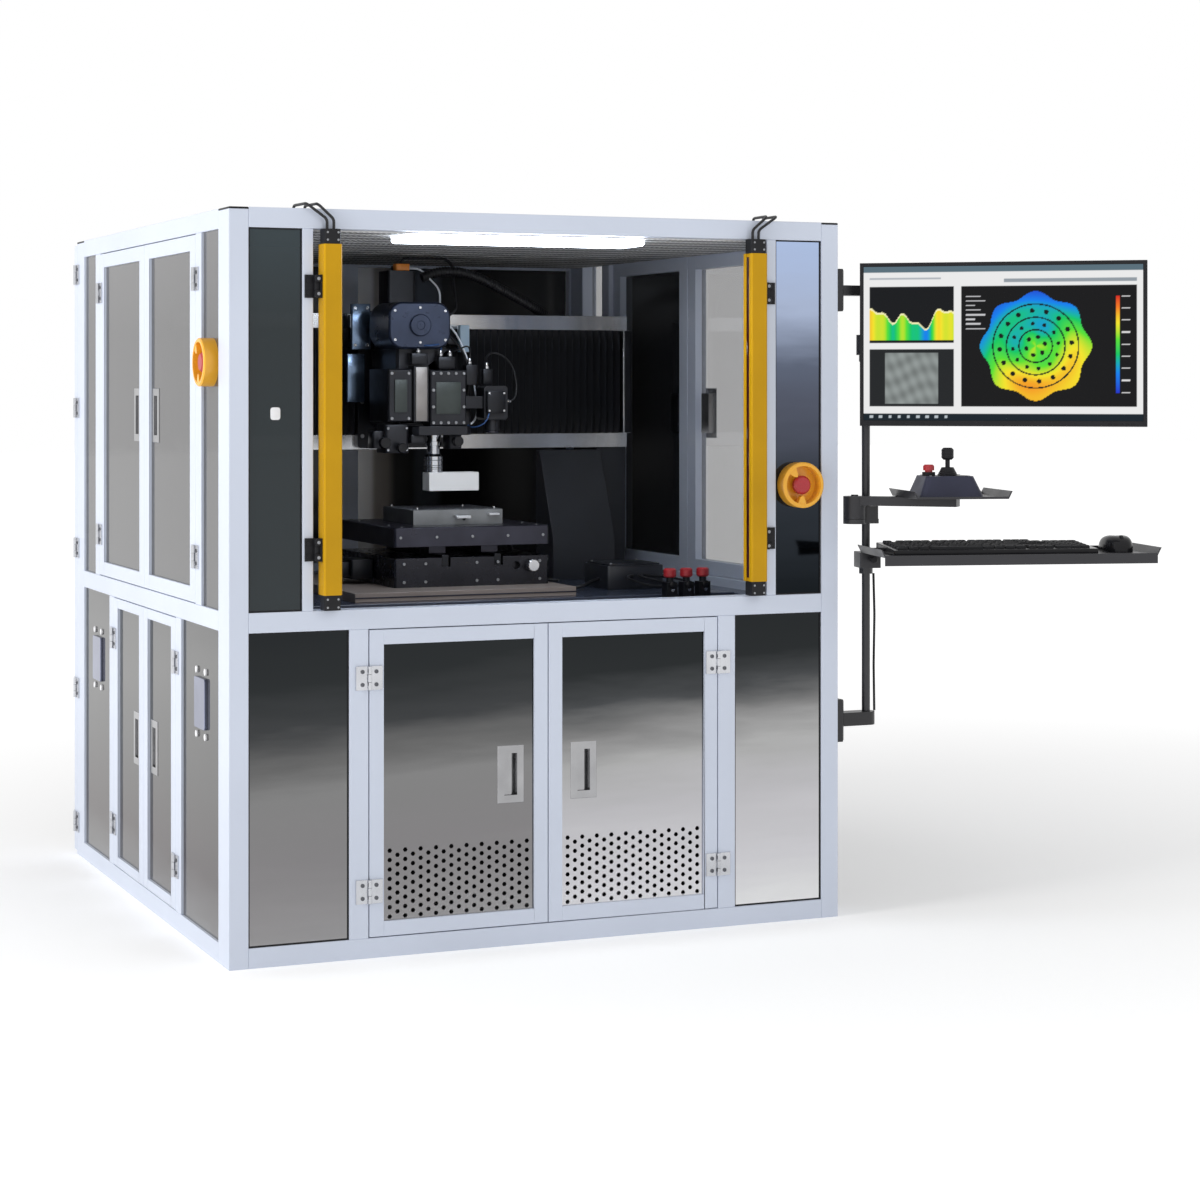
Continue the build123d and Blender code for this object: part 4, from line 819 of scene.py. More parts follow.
def instrument():
    """The bridge, the carriage, the head, the stage and the chuck."""
    cover = ("cover", lambda lo, hi: hi[0] - lo[0] < 170 and lo[1] < 100, dark_coat, 1.0)
    refit("bridge_beam", [cover], dark_coat, 1.0)
    ends = ("ends", lambda lo, hi: hi[0] - lo[0] < 30, black_metal, 0.6)
    refit("bridge_rails", [ends], steel_bright, 0.6)
    refit("x_carriage", [], black_metal, 0.8)
    covers = blocks(*[(x, 153.4, 1034, x + 17, 154.8, 1282, 0.6, 0.4) for x in (549, -566)])
    group("bellows_end_covers", covers, black_metal, "cabinet")
    refit("head_body", [("lamp", lambda lo, hi: lo[2] > 1225, lamp_blue, 0.7)], head_dark, 0.7)
    lead = ("lead", lambda lo, hi: hi[2] < 1432, cable_white, 0)
    refit("head_cables", [lead], cable_black)
    dress("objective", steel_barrel)
    window = ("window", lambda lo, hi: hi[2] - lo[2] < 10, lens_glass, 0)
    refit("reference_arm", [window], arm_white, 0.6)
    refit(
        "stage_base",
        [
            ("sub_plate", lambda lo, hi: hi[1] - lo[1] > 500, sub_plate_tan, 1.0),
            ("guides", lambda lo, hi: hi[0] - lo[0] < 20, black_metal, 0.4),
        ],
        stage_block,
        0.8,
    )
    refit("stage_plate", [], stage_dark, 0.6)
    refit("sample_chuck", [], chuck_metal, 0.6)
    dress("stage_knob", steel_bright)


def pleated_bellows():
    """Each cover is one pleated sheet: its depth is a triangle wave of the distance along
    the beam, softened at the folds, and its height is straight."""
    for node, start_body, end_body in (
        ("bellows_left", "cabinet", "x_carriage"),
        ("bellows_right", "x_carriage", "cabinet"),
    ):
        lo, hi = (np.array(v) * 1000 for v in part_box(node))
        folds = 26
        steps = folds * 6
        t = np.linspace(0, folds, steps + 1)
        wave = np.abs((t % 1.0) - 0.5) * 2
        wave = 0.5 - 0.5 * np.cos(math.pi * np.clip(wave * 1.12 - 0.06, 0, 1))
        x = lo[0] + (hi[0] - lo[0]) * t / folds
        y = hi[1] - 2 - (hi[1] - lo[1] - 3) * (1 - wave)
        z = np.linspace(lo[2], hi[2], 5)
        front = np.stack(np.broadcast_arrays(x[:, None], y[:, None], z[None, :]), axis=-1)
        count = len(z)
        i = np.arange(steps)[:, None] * count
        j = np.arange(count - 1)[None, :]
        quads = np.stack([i + j, i + count + j, i + count + j + 1, i + j + 1], axis=-1)
        shape = front.reshape(-1, 3) * mm, quads.reshape(-1, 4)
        sheet = piece(node + "_cloth", *shape, cloth_black, None, 80)
        wall = sheet.modifiers.new("wall", "SOLIDIFY")
        wall.thickness = 1.2 * mm
        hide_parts(node)
        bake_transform(sheet)


# Details on the measuring head and round the chamber
def screw_rows(body, name, spots, axis, radius=3.2, height=2.0, material=None):
    """Socket screws at a list of places, all facing one way."""
    shapes = [screw(spot, axis, radius, height) for spot in spots]
    group(f"{name}_screws", shapes, material or steel_screw, body)


def head_details():
    """What is bolted to the head and its carriage: cover plates, adjusters, a turret,
    modules, plugs and leads, polished brackets, motor fins and the conduit."""
    head, carriage = "measuring_head", "x_carriage"
    grid = [(x, -112, z) for x in (-40, 33) for z in (1064, 1100, 1138, 1176)]
    grid += [(x, -112, z) for x in (-22, -4, 14) for z in (1064, 1176)]
    screw_rows(head, "front_block", grid, forward, 3.6, 2.4)
    spots = [(-66, -104, z) for z in (1076, 1110, 1150, 1184)]
    screw_rows(head, "light_bar", spots, forward, 2.8, 1.8)
    spots = [(x, -98, z) for x in (-134, -94) for z in (1074, 1176)]
    screw_rows(head, "left_body", spots, forward, 3.6)
    rim = ((-126, 1252), (-66, 1246), (-6, 1252), (-126, 1318), (-66, 1325), (-6, 1318))
    spots = [(x, -96, z) for x, z in rim]
    screw_rows(head, "lamp_cover", spots, forward, 3.4, 2.2, steel_bright)
    spots = [(x, 155.7, z) for x in (-122, 76) for z in (1030, 1110, 1200, 1296)]
    screw_rows(carriage, "plate", spots, forward, 5)
    plates = blocks(
        (-34, -114, 1084, 26, -112, 1156, 1, 0.6),
        (-128, -100.5, 1088, -98, -98, 1162, 1, 0.6),
    )
    group("head_cover_plates", plates, head_grey, head)
    piece("light_bar_face", *between((-80, -107, 1068), (-52, -104, 1190), 2, 0.8), head_bar, head)
    dial = [(24, 0), (25, 1), (25, 5), (23, 6.5), (10, 6.5), (9, 5), (0.1, 5)]
    piece("lamp_port", *turned(dial, (-66, -96, 1285), forward, 40), lamp_blue, head)
    knobs, stems = [], []
    for x, z, r in ((-158, 1020, 13), (-118, 1008, 11), (16, 1022, 12)):
        ridged = [(r * 0.8, 0), (r, 2), (r, 14), (r * 0.9, 16), (r * 0.3, 16.5)]
        knobs.append(turned(ridged, (x, -112, z), forward, 20))
        stems.append(turned([(5, 0), (5, 14)], (x, -98, z), forward, 14))
    turret = blocks(
        (-150, -98, 996, -92, -30, 1060, 8, 1.5),
        (-174, -84, 1006, -146, -44, 1046, 5, 1.2),
        (-92, -108, 1018, -58, -40, 1037, 3, 1.0),
        (4, -98, 1004, 34, -50, 1037, 4, 1.2),
    )
    group("turret", turret + stems, head_dark, head)
    group("turret_knobs", knobs, black_gloss, head)
    spots = [(x, -98, z) for x in (-143, -99) for z in (1003, 1052)]
    screw_rows(head, "turret", spots, forward, 3, 2)
    ring = [(15.2, 0), (18.5, 0.6), (18.5, 9), (15.2, 9.6)]
    piece("tube_ring", *turned(ring, (-27, -75, 1012), upward, 36), steel_barrel, head)
    band = [(21.1, 0), (21.6, 0.8), (21.1, 1.6)]
    bands = [turned(band, (-27, -75, z), upward, 40) for z in (958, 962, 966, 978)]
    group("barrel_bands", bands, steel_screw, head)
    boxes = blocks(
        (46, -92, 1150, 74, -60, 1196, 3, 1.0),
        (-20, -90, 1186, 22, -62, 1214, 3, 1.0),
        (-84, -88, 1196, -44, -64, 1222, 3, 1.0),
        (88, -118, 1086, 134, -108, 1136, 4, 1.0),
        (96, -70, 1150, 120, -50, 1186, 3, 1.0),
        (44, -70, 1040, 66, -44, 1092, 3, 1.0),
    )
    group("head_modules", boxes, black_metal, head)
    plug = [(5.5, 0), (6, 1), (6, 7), (4.2, 8), (4.2, 14), (3, 16)]
    spots = ((60, -76, 1196), (-10, -76, 1214), (12, -76, 1214), (-64, -76, 1222), (108, -60, 1186))
    ends = [turned(plug, spot, upward, 16) for spot in spots]
    ends.append(turned(plug, (142, -84, 1112), (1, 0, 0), 16))
    group("head_plugs", ends, steel_bright, head)
    leads = (
        (4.0, cable_black, (60, -76, 1208), (62, -80, 1236), (40, -104, 1240),
         (20, -100, 1226), (12, -76, 1228)),
        (4.0, cable_blue, (-10, -76, 1226), (-8, -84, 1246), (-40, -112, 1238),
         (-62, -90, 1240), (-64, -76, 1236)),
        (5.0, cable_black, (156, -84, 1112), (176, -84, 1120), (178, -60, 1200),
         (140, -30, 1230), (112, -40, 1216), (108, -60, 1200)),
        (5.5, cable_black, (54, -58, 1090), (70, -46, 1130), (74, -40, 1200),
         (50, -20, 1250), (10, 0, 1290)),
        (4.5, cable_white, (70, -60, 1060), (98, -40, 1080), (96, 0, 1180),
         (60, 20, 1290), (4, 30, 1310)),
        (3.5, cable_blue, (96, -112, 1090), (84, -124, 1060), (56, -96, 1050), (60, -60, 1060)),
    )
    for index, (size, material, *route) in enumerate(leads):
        piece(f"head_lead_{index}", *tube(route, size), material, head)
    spots = [(x, -118, z) for x in (93, 129) for z in (1091, 1131)]
    screw_rows(head, "camera", spots, forward, 2.6, 1.6, steel_bright)
    lens = [(14, 0), (15, -1), (15, -3), (12, -3.4), (11, -1), (0.1, 0.6)]
    piece("camera_lens", *turned(lens, (113, -82, 1044), upward, 32), lens_glass, head)
    bracket = blocks(
        (-168, 92, 1232, -122, 106, 1338, 3, 1.0),
        (-178, 96, 1110, -134, 108, 1222, 3, 1.0),
    )
    group("polished_brackets", bracket, bolted_blue, carriage)
    arms = blocks(
        (-168, 106, 1240, -128, 170, 1256, 2, 0.8),
        (-174, 108, 1140, -128, 170, 1156, 2, 0.8),
    )
    group("bracket_arms", arms, black_metal, carriage)
    spots = [(x, 92, z) for x in (-160, -130) for z in (1242, 1328)]
    screw_rows(carriage, "bracket", spots, forward, 4, 2, steel_bright)
    piece("motor_tag", *between((-40, 152, 1420), (-6, 176, 1436), 2, 1.0), tag_orange, carriage)
    fins = [between((-56, 162 + k * 9, 1340), (10, 164.5 + k * 9, 1412), 1, 0.4) for k in range(7)]
    group("motor_fins", fins, black_metal, carriage)
    piece("lead_plug", *between((112, 128, 1228), (136, 150, 1292), 3, 1.2), plug_pale, carriage)
    strap = between((86, 146, 1246), (113, 156, 1262), 2, 0.8)
    piece("plug_strap", *strap, black_metal, carriage)
    route = [(30, 170, 1404), (80, 168, 1424), (160, 176, 1418), (260, 196, 1372), (330, 212, 1340)]
    hose = ribbed_hose([*route, (372, 240, 1322)], 24)
    conduit = piece("drag_conduit", *hose, cable_black, None, 50)
    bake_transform(conduit)


def chamber_details():
    """Fittings on the deck and stage: a junction box, tubes, leads, gauges, pins, tabs,
    dark strips of painted shade for the chuck's grooves, switches and the stage's drive."""
    cabin = "cabinet"
    box = blocks(
        (330, -250, 684, 470, -110, 738, 6, 1.5),
        (336, -244, 738, 464, -116, 742, 5, 1.0),
    )
    group("junction_box", box, dark_coat, cabin)
    spots = [(x, y, 742) for x in (344, 456) for y in (-236, -124)]
    screw_rows(cabin, "junction_box", spots, upward, 3.4)
    for index, x in enumerate(valve_places):
        route = [(x, -434, 702), (x, -410, 702), (x - 20, -370, 700 + 8 * index)]
        route += [(x - 50, -300, 716), (392 + 14 * index, -252, 716)]
        piece(f"air_tube_{index}", *tube(route, 6), cable_black, cabin)
    route = [(330, -200, 706), (300, -210, 700), (262, -260, 692), (240, -200, 690)]
    route += [(250, -60, 690), (300, 60, 692), (340, 140, 700)]
    piece("deck_lead_low", *tube(route, 8, 12), cable_black, cabin)
    route = [(470, -180, 712), (520, -190, 724), (540, -120, 700), (520, 0, 692), (500, 120, 694)]
    route.append((480, 200, 720))
    piece("deck_lead_right", *tube(route, 8, 12), cable_black, cabin)
    nut = [(5, 0), (6, 1), (6, 8), (4, 9)]
    fittings = [turned(nut, (x, -434, 702), (0, 1, 0), 12) for x in valve_places]
    fittings += [turned([(4, 0), (4, 3)], (x, -462, 697), forward, 12) for x in valve_places]
    group("air_fittings", fittings, steel_bright, cabin)
    face = [(8, 0), (8.6, 1), (8.6, 5), (7, 6), (0.1, 6)]
    gauge = [turned(face, (x, -462, 708), forward, 18) for x in valve_places]
    group("air_gauges", gauge, black_gloss, cabin)
    spots = [(x, -260, z) for x in (-160, -110, 10, 60, 160) for z in (716, 756)]
    screw_rows(cabin, "base_block", spots, forward, 3.4, 1.6)
    spots = [(x, -260, 814) for x in range(-168, 169, 84)]
    screw_rows("stage", "stage_edge", spots, forward, 3.2, 1.4)
    top = [(x, y, 836) for x in (-160, 160) for y in (-240, -150, 60, 120)]
    screw_rows("stage", "stage_top", top, upward, 4.0, 1.6)
    pin, spots = [(3, 0), (3, 4), (2.2, 5)], ((-92, -150), (92, -150), (-92, 30), (60, -30))
    pins = [turned(pin, (*spot, chuck_top), upward, 14) for spot in spots]
    group("chuck_pins", pins, steel_bright, "stage")
    tabs = blocks(
        (-8, -182, 850, 26, -166.5, 856, 2, 0.6),
        (70, -178, 856, 96, -166.5, 860, 2, 0.6),
    )
    group("chuck_tabs", tabs, white_coat, "stage")
    # Painted shade: thin dark strips on the chuck's top stand for its grooves.
    low, high = chuck_top, chuck_top + 0.35
    rows = [(x - 0.6, -160, low, x + 0.6, 40, high, 0.3, 0.1) for x in range(-80, 81, 20)]
    rows += [(-100, y - 0.6, low, 100, y + 0.6, high, 0.3, 0.1) for y in range(-140, 21, 20)]
    group("chuck_groove_painted_shade", blocks(*rows), stage_dark, "stage")
    side = blocks((182, -200, 800, 206, -120, 826, 3, 1.0), (186, -90, 802, 202, 20, 820, 3, 1.0))
    group("stage_switches", side, black_metal, "stage")
    route = [(194, 20, 811), (200, 60, 806), (230, 90, 760), (232, 60, 710), (250, 0, 694)]
    route.append((300, -30, 692))
    lead = piece("stage_lead", *tube(route, 7, 12), cable_black, None)
    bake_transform(lead)
    edge = between((-307, -369, 692), (204, -367.4, 695), 0.5, 0.3)
    piece("sub_plate_seam", *edge, stage_dark, cabin)
    motor = blocks(
        (-236, -120, 716, -184, -40, 760, 5, 1.4),
        (-262, -110, 722, -236, -50, 754, 4, 1.2),
    )
    group("stage_drive", motor, black_metal, cabin)
    lip = between((-503, -672, 680), (503, -640, 683), 1, 0.5)
    piece("deck_lip", *lip, slab_blue, cabin)


def curtain_details():
    """Clamp knobs, cap screws and the dark window strips of the light curtain."""
    shapes, bolts, strips = [], [], []
    knob = [(7, 0), (8, 1.5), (8, 7), (6.5, 9), (2, 9.2)]
    for sx in (-1, 1):
        x = sx * 471
        for level in (822, 1345):
            for dz in (-15, 15):
                shapes.append(turned(knob, (x + sx * 27, -722, level + dz), forward, 16))
            shapes.append(soft_block((x + sx * 26, -718, level), (14, 12, 44), 3, 1.2))
            bolts += [screw((x + sx * 27, -731, level + dz), forward, 3.4, 1.6) for dz in (-15, 15)]
        for z in (708, 724, 1437, 1452):
            bolts += [screw((x + dx, -739, z), forward, 2.2, 1.0) for dx in (-11, 11)]
        x0, x1 = sorted((x - sx * 18.6, x - sx * 16.4))
        strips.append(between((x0, -727, 740), (x1, -715, 1421), 0.8, 0.3))
    group("curtain_clamps", shapes, black_plastic, "cabinet")
    group("curtain_bolts", bolts, steel_screw, "cabinet")
    window = finish("curtain_window", (0.05, 0.006, 0.008), 0.08, coat=0.6)
    group("curtain_windows", strips, window, "cabinet")


def seals():
    """Black rubber seals round the panels, and the blank white plate on the upper pane."""
    rows = []
    width, face, deep = 3.0, 4.0 - front_face, 6.0 - front_face
    for x0, x1, z0, z1 in (
        (-635, -525, 700, 1460),
        (525, 635, 700, 1460),
        (-635, -428, 40, 660),
        (428, 635, 40, 660),
    ):
        for left, right, low, high in (
            (x0, x0 + width, z0, z1),
            (x1 - width, x1, z0, z1),
            (x0 + width, x1 - width, z0, z0 + width),
            (x0 + width, x1 - width, z1 - width, z1),
        ):
            rows.append((left, face, low, right, deep, high, 0.4, 0.3))
    group("panel_seals", blocks(*rows), black_plastic, "cabinet")
    plate = soft_block((-579.5, -705.2, 1092.5), (25, 20, 2.2), 5, 0.6, forward)
    piece("blank_plate", *plate, white_coat, "cabinet")


# Station
def station_frame(yaw):
    """Takes points from the mast's own axes, turned by a yaw in degrees, to the world."""
    c, s = math.cos(math.radians(yaw)), math.sin(math.radians(yaw))
    turn = np.array([[c, -s, 0], [s, c, 0], [0, 0, 1]])

    def carry(shape):
        p, f = shape
        return (p @ turn.T) + mast_place, f

    return carry


mast_place = np.array([0.760, -0.680, 0.0])
at_station = station_frame(-14.0)
at_screen = station_frame(-38.0)


def on_station(name, shapes, material, body, carry=at_station):
    """Shapes given in the mast's own axes, as one piece."""
    return piece(name, *carry(join_shapes(shapes)), material, body)


def keyboard():
    """Keycaps in six rows: each cap is a tapered block with a dished top, its width set by
    the row's own list of widths in key units."""
    rows = [
        [1.0] + [0.5] + [1.0] * 4 + [0.25] + [1.0] * 4 + [0.25] + [1.0] * 4 + [0.25] + [1.0] * 3,
        [1.0] * 13 + [2.0] + [0.25] + [1.0] * 3 + [0.25] + [1.0] * 4,
        [1.5] + [1.0] * 12 + [1.5] + [0.25] + [1.0] * 3 + [0.25] + [1.0] * 4,
        [1.75] + [1.0] * 11 + [2.25] + [3.5] + [1.0] * 4,
        [2.25] + [1.0] * 10 + [2.75] + [1.25] + [1.0] + [1.25] + [1.0] * 4,
        [1.25] * 3 + [6.25] + [1.25] * 4 + [0.25] + [1.0] * 3 + [0.25] + [2.0] + [1.0] * 2,
    ]
    lo, hi = 12.0, 438.0
    unit = (hi - lo) / 22.5
    centres, widths, levels = [], [], []
    for k, row in enumerate(rows):
        edges = np.concatenate([[0], np.cumsum(row)])
        for a, b, w in zip(edges[:-1], edges[1:], row):
            if w in (0.25, 0.5, 3.5):
                continue
            centres.append(((a + b) / 2 * unit + lo, 137 - k * 22.0))
            widths.append(w * unit - 2.2)
            levels.append(5 - k)
    c = np.array(centres)
    w = np.array(widths)
    level = np.array(levels)
    base = np.array([[-1, -1], [1, -1], [1, 1], [-1, 1]]) / 2
    rings = []
    slope = 9.0 / 150.0
    bottom = tray_top + 10 + (level * 22 + 16) * slope
    for grow, rise in ((0.0, 0.0), (-0.6, 4.2), (-2.6, 6.4), (-4.0, 6.0)):
        size = np.stack([w + grow, np.full(len(w), 17.0 + grow)], axis=-1)
        xy = c[:, None, :] + base[None] * size[:, None, :]
        z = np.broadcast_to((bottom + rise)[:, None, None], (len(w), 4, 1))
        rings.append(np.concatenate([xy, z], axis=-1))
    p = np.stack(rings, axis=1).reshape(-1, 3)
    p[:, 0] += 8
    p[:, 1] += tray_line - 75
    cap = np.array(ring_faces(4, 4, False) + [[12, 13, 14, 15]])
    faces = (np.arange(len(w))[:, None, None] * 16 + cap[None]).reshape(-1, 4)
    caps = at_station((p * mm, faces.tolist()))
    piece("keycaps", *caps, black_plastic, "keyboard_tray", 30, "black_plastic")
    for p, f, low, high in solids("keyboard"):
        if high[2] - low[2] > 16:
            case = piece("keyboard_case", p, f.tolist(), black_gloss, "keyboard_tray", 35)
            ease_edges(case, 1.5)
            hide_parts("keyboard")


def mouse():
    """A shell whose plan is a rounded oval and whose height is a dome with its hump
    towards the palm, and a dark wheel."""
    u = np.linspace(0, 2 * math.pi, 49)[:-1]
    v = np.linspace(0.0, 1.0, 14)
    uu, vv = np.meshgrid(u, v, indexing="ij")
    power = 2 / 2.6
    x = 31 * np.sign(np.cos(uu)) * np.abs(np.cos(uu)) ** power
    y = 54 * np.sign(np.sin(uu)) * np.abs(np.sin(uu)) ** power
    side = np.sin(vv * math.pi / 2) ** 0.7
    shrink = np.cos(vv * math.pi / 2) ** 0.42
    x = x * shrink
    y = y * shrink
    z = tray_top + 35.5 * side * (1 - 0.22 * ((y + 14) / 54) ** 2)
    rings = np.stack([x + 523, y + tray_line, z], axis=-1).transpose(1, 0, 2)[:-1]
    p, f = rings.reshape(-1, 3) * mm, ring_faces(13, 48)
    shell = piece("mouse_shell", *at_station((p, f)), black_gloss, "keyboard_tray", 60)
    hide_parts("mouse")
    wheel = turned([(8, -3.5), (9.5, -2.5), (9.5, 2.5), (8, 3.5)], (523, -165, 816), (1, 0, 0), 24)
    on_station("mouse_wheel", [wheel], black_plastic, "keyboard_tray")


def station_details():
    """The monitor's screws, keys and vents, the joystick's boot, bands, screws and pad, and
    the tray's clamp lever and slots."""
    bolts = []
    for dx, dz in ((-50, -50), (50, -50), (-50, 50), (50, 50)):
        bolts.append(screw((screen_x + dx, -17, screen_z + dz), (0, 1, 0), 4.0, 2.0))
    on_station("monitor_screws", bolts, steel_screw, "monitor", at_screen)
    keys = [soft_block((530 + 12 * k, -60.4, 1066), (7, 1.4, 2.4), 1.0, 0.4) for k in range(5)]
    on_station("monitor_keys", keys, black_gloss, "monitor", at_screen)
    spots = [(screen_x + (k - 14) * 12, -45.8, 1396) for k in range(29)]
    vents = [soft_block(spot, (7, 1.0, 2.0), 0.8, 0.3) for spot in spots]
    on_station("monitor_vents", vents, black_gloss, "monitor", at_screen)
    rings = []
    for r, z in ((21.5, 957.5), (19, 961.5), (16.5, 965.5), (14.5, 969.5)):
        fold = [(r - 2.0, -1.6), (r + 0.8, 0), (r - 2.6, 1.8)]
        rings.append(turned(fold, (146, tray_line, z), upward, 32))
    on_station("joystick_boot", rings, black_plastic, "joystick_arm")
    cap = [(12.4, 0), (13.4, 1), (13.4, 3), (12.4, 4)]
    bands = [turned(cap, (146, tray_line, z), upward, 28) for z in (993, 1000, 1007)]
    on_station("joystick_bands", bands, black_gloss, "joystick_stick")
    spots = [(x, tray_line + y, 955) for x in (98, 182) for y in (-36, 36)]
    small = [screw(spot, upward, 2.8, 1.4) for spot in spots]
    on_station("joystick_screws", small, steel_screw, "joystick_arm")
    panel = soft_block((168, -150, 955.6), (30, 34, 1.2), 3, 0.4)
    on_station("joystick_pad", [panel], black_gloss, "joystick_arm")
    lever = [
        turned([(5, 0), (5, 16), (7.5, 17), (7.5, 30), (6, 32)], (0, -43, 772), forward, 16),
        turned([(4, 0), (4.5, 8)], (0, -36, 772), forward, 12),
    ]
    on_station("tray_lever", lever, black_plastic, "keyboard_tray")
    slots = [soft_block((40 + 26 * k, -75, 789.2), (16, 3, 0.6), 1.4, 0.2) for k in range(19)]
    on_station("tray_slots", slots, black_gloss, "keyboard_tray")


def screen_picture():
    """What the screen shows: a made-up height map of a rippled disc, a profile line and a
    grey texture, as colours on a fine grid worked out from formulas."""
    wide, tall = 300, 172
    u, v = np.meshgrid(np.linspace(0, 1, wide + 1), np.linspace(0, 1, tall + 1), indexing="ij")
    x0, x1 = screen_x - 297.0, screen_x + 297.0
    z0, z1 = screen_z - 163.5, screen_z + 167.5
    p = np.stack([x0 + (x1 - x0) * u, np.full_like(u, -59.85), z0 + (z1 - z0) * v], axis=-1)
    i = np.arange(wide)[:, None] * (tall + 1)
    j = np.arange(tall)[None, :]
    quads = np.stack([i + j, i + tall + 1 + j, i + tall + 2 + j, i + j + 1], axis=-1).reshape(-1, 4)
    x, y = u * 1.77, v
    colour = np.full(u.shape + (3,), 0.86)

    def paint(mask, value):
        colour[mask] = value[mask] if np.ndim(value) == 3 else value

    def rainbow(h):
        stops = np.array([0, 0.2, 0.4, 0.55, 0.72, 0.88, 1.0])
        table = np.array(
            [[0.01, 0.03, 0.62], [0, 0.22, 0.9], [0, 0.6, 0.12], [0.1, 0.78, 0.03],
             [0.95, 0.8, 0.02], [0.95, 0.2, 0.01], [0.72, 0.01, 0.01]]
        )
        return np.stack([np.interp(h, stops, table[:, k]) for k in range(3)], axis=-1)

    def inside(x0, x1, y0, y1):
        return (x > x0) & (x < x1) & (y > y0) & (y < y1)

    big = inside(0.63, 1.73, 0.09, 0.87)
    paint(big, (0.003, 0.003, 0.004))
    cx, cy = 1.10, 0.48
    r = np.hypot(x - cx, y - cy)
    angle = np.arctan2(y - cy, x - cx)
    height = 0.5 - 1.05 * (y - cy) + 0.35 * (x - cx)
    height += 0.07 * np.cos(26 * r) + 0.05 * np.cos(3 * angle)
    shape = r < 0.335 + 0.018 * np.cos(8 * angle)
    paint(shape, rainbow(np.clip(height, 0, 1)))
    for radius in (0.27, 0.185, 0.105):
        paint(np.abs(r - radius) < 0.0046, (0.0, 0.01, 0.01))
    for k, radius, size in ((6, 0.060, 0.014), (12, 0.145, 0.012), (16, 0.228, 0.015)):
        step = 2 * math.pi / k
        near = (angle + step / 4) % step - step / 2
        paint(np.hypot(r * np.cos(near) - radius, r * np.sin(near)) < size, (0.002, 0.004, 0.004))
    paint(inside(1.60, 1.625, 0.18, 0.80), rainbow(np.clip((y - 0.18) / 0.62, 0, 1)))
    for k in range(9):
        paint(inside(1.635, 1.69, 0.178 + k * 0.077, 0.186 + k * 0.077), (0.75, 0.75, 0.75))
    for k in range(8):
        reach = 0.69 + 0.10 * (0.6 + 0.4 * math.sin(k * 2.1))
        paint(inside(0.66, reach, 0.80 - k * 0.030, 0.808 - k * 0.030), (0.62, 0.62, 0.64))
    profile = inside(0.04, 0.58, 0.50, 0.87)
    paint(profile, (0.003, 0.004, 0.006))
    curve = 0.66 + 0.07 * np.sin(21 * x) * np.cos(7 * x) + 0.02 * np.sin(57 * x)
    paint(profile & (y < curve) & (y > 0.52), rainbow(np.clip((curve - 0.54) / 0.24, 0, 1)))
    paint(profile & (np.abs(y - curve) < 0.006), (0.95, 0.9, 0.5))
    small = inside(0.04, 0.58, 0.09, 0.46)
    tone = 0.26 + 0.04 * np.sin(60 * y + 3 * np.sin(11 * x)) + 0.03 * np.sin(91 * x + 40 * y)
    paint(small, (0.012, 0.014, 0.016))
    paint(inside(0.14, 0.48, 0.11, 0.44), np.stack([tone * 0.9, tone, tone * 0.98], axis=-1))
    paint(y > 0.965, (0.10, 0.16, 0.20))
    paint(inside(0.04, 0.5, 0.915, 0.925), (0.45, 0.48, 0.52))
    paint(inside(0.9, 1.73, 0.895, 0.915), (0.30, 0.34, 0.38))
    paint(y < 0.045, (0.004, 0.012, 0.020))
    for k in range(9):
        paint(inside(0.04 + k * 0.06, 0.06 + k * 0.06, 0.014, 0.032), (0.5, 0.56, 0.6))
    glow = finish("screen_glow", (0.002, 0.002, 0.002), 0.35, spec=0.12)
    attribute = add_node(glow, "ShaderNodeAttribute", attribute_name="picture")
    links = glow.node_tree.links
    links.new(attribute.outputs["Color"], shader_of(glow).inputs["Emission Color"])
    shader_of(glow).inputs["Emission Strength"].default_value = 0.95
    sheet = at_screen((p.reshape(-1, 3) * mm, quads.tolist()))
    obj = piece("screen_picture", *sheet, glow, "monitor", 30)
    layer = obj.data.color_attributes.new("picture", "FLOAT_COLOR", "POINT")
    rgba = np.ones((colour.size // 3, 4))
    rgba[:, :3] = colour.reshape(-1, 3)
    layer.data.foreach_set("color", rgba.ravel())


def monitor():
    """The housing, its glass and the picture on it."""
    glass = ("glass", lambda lo, hi: hi[2] - lo[2] < 340, black_gloss, 0)
    refit("monitor_housing", [glass], black_plastic, 0.8)
    screen_picture()


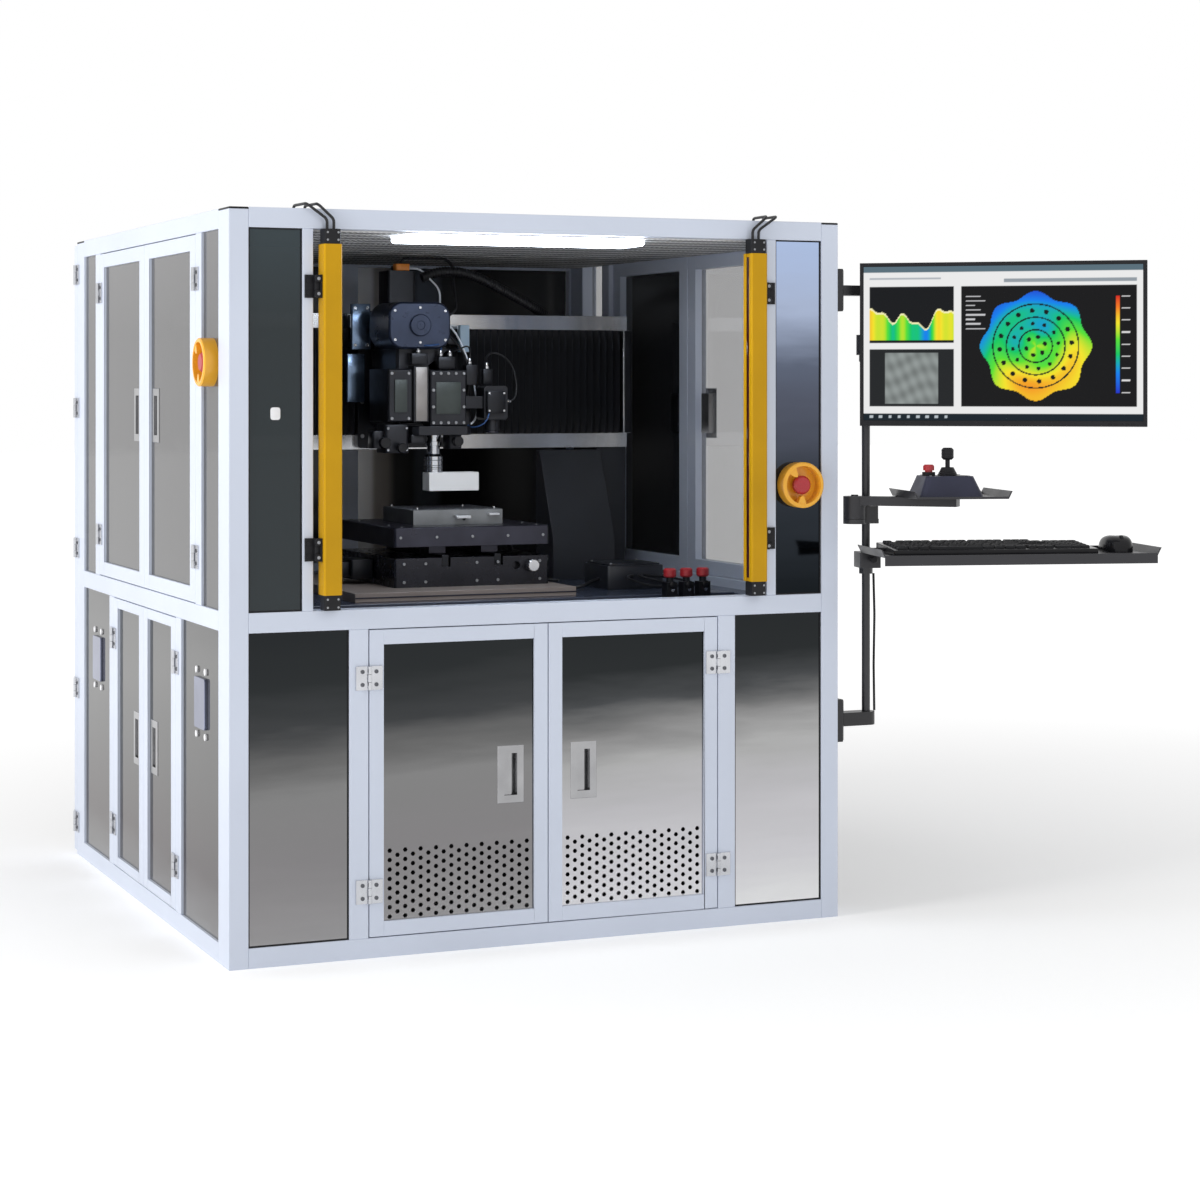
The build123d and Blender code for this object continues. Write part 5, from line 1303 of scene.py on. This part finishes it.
# Floor and light
def studio():
    """A pale floor, a soft sky and two large lamps. The floor's glow is weaker within a few metres
    of the origin: painted shade round the object.
    """
    far = 40.0
    corners = [(-far, -far, 0), (far, -far, 0), (far, far, 0), (-far, far, 0)]
    mesh = bpy.data.meshes.new("floor")
    mesh.from_pydata(corners, [], [(0, 1, 2, 3)])
    floor = bpy.data.objects.new("floor", mesh)
    bpy.context.scene.collection.objects.link(floor)
    material = finish("floor", (0.88, 0.88, 0.88), 0.9, spec=0.0)
    shader_of(material).inputs["Emission Color"].default_value = (1, 1, 1, 1)
    coords = add_node(material, "ShaderNodeTexCoord")
    away = add_node(material, "ShaderNodeVectorMath", operation="LENGTH")
    # Painted shade: the floor glows 0.26 within 1.2 m of the origin, rising to 0.62 by 5 m.
    span = {"From Min": 1.2, "From Max": 5.0, "To Min": 0.26, "To Max": 0.62}
    glow = add_node(material, "ShaderNodeMapRange", **span)
    links = material.node_tree.links
    links.new(coords.outputs["Object"], away.inputs[0])
    links.new(away.outputs["Value"], glow.inputs["Value"])
    links.new(glow.outputs["Result"], shader_of(material).inputs["Emission Strength"])
    mesh.materials.append(material)
    world = bpy.data.worlds.new("studio")
    bpy.context.scene.world = world
    world.use_nodes = True
    tree = world.node_tree
    background = tree.nodes["Background"]
    path = tree.nodes.new("ShaderNodeLightPath")
    seen, more = tree.nodes.new("ShaderNodeMath"), tree.nodes.new("ShaderNodeMath")
    seen.operation = more.operation = "MAXIMUM"
    strength = tree.nodes.new("ShaderNodeMapRange")
    strength.inputs["To Min"].default_value = 0.56
    strength.inputs["To Max"].default_value = 1.0
    tree.links.new(path.outputs["Is Camera Ray"], seen.inputs[0])
    tree.links.new(path.outputs["Is Glossy Ray"], seen.inputs[1])
    tree.links.new(seen.outputs[0], more.inputs[0])
    tree.links.new(path.outputs["Is Transmission Ray"], more.inputs[1])
    tree.links.new(more.outputs[0], strength.inputs["Value"])
    tree.links.new(strength.outputs["Result"], background.inputs["Strength"])
    background.inputs["Color"].default_value = (1, 1, 1, 1)
    for name, spot, aim, size, power in (
        ("left_lamp", (-5.2, -1.2, 2.6), (0, 0, 0.8), 2.6, 165),
        ("front_lamp", (1.2, -5.2, 3.4), (0, 0, 0.9), 2.2, 26),
    ):
        data = bpy.data.lights.new(name, "AREA")
        data.shape = "SQUARE"
        data.size = size
        data.energy = power
        lamp = bpy.data.objects.new(name, data)
        bpy.context.scene.collection.objects.link(lamp)
        lamp.location = spot
        toward = np.array(aim) - np.array(spot)
        lamp.rotation_euler = Vector(toward).to_track_quat("-Z", "Y").to_euler()
        lamp.visible_glossy = False


cabinet()
doors()
hinge_screws()
hardware()
instrument()
pleated_bellows()
head_details()
chamber_details()
curtain_details()
seals()
keyboard()
mouse()
monitor()
station_details()
studio()

bpy.context.scene.view_settings.view_transform = "Standard"
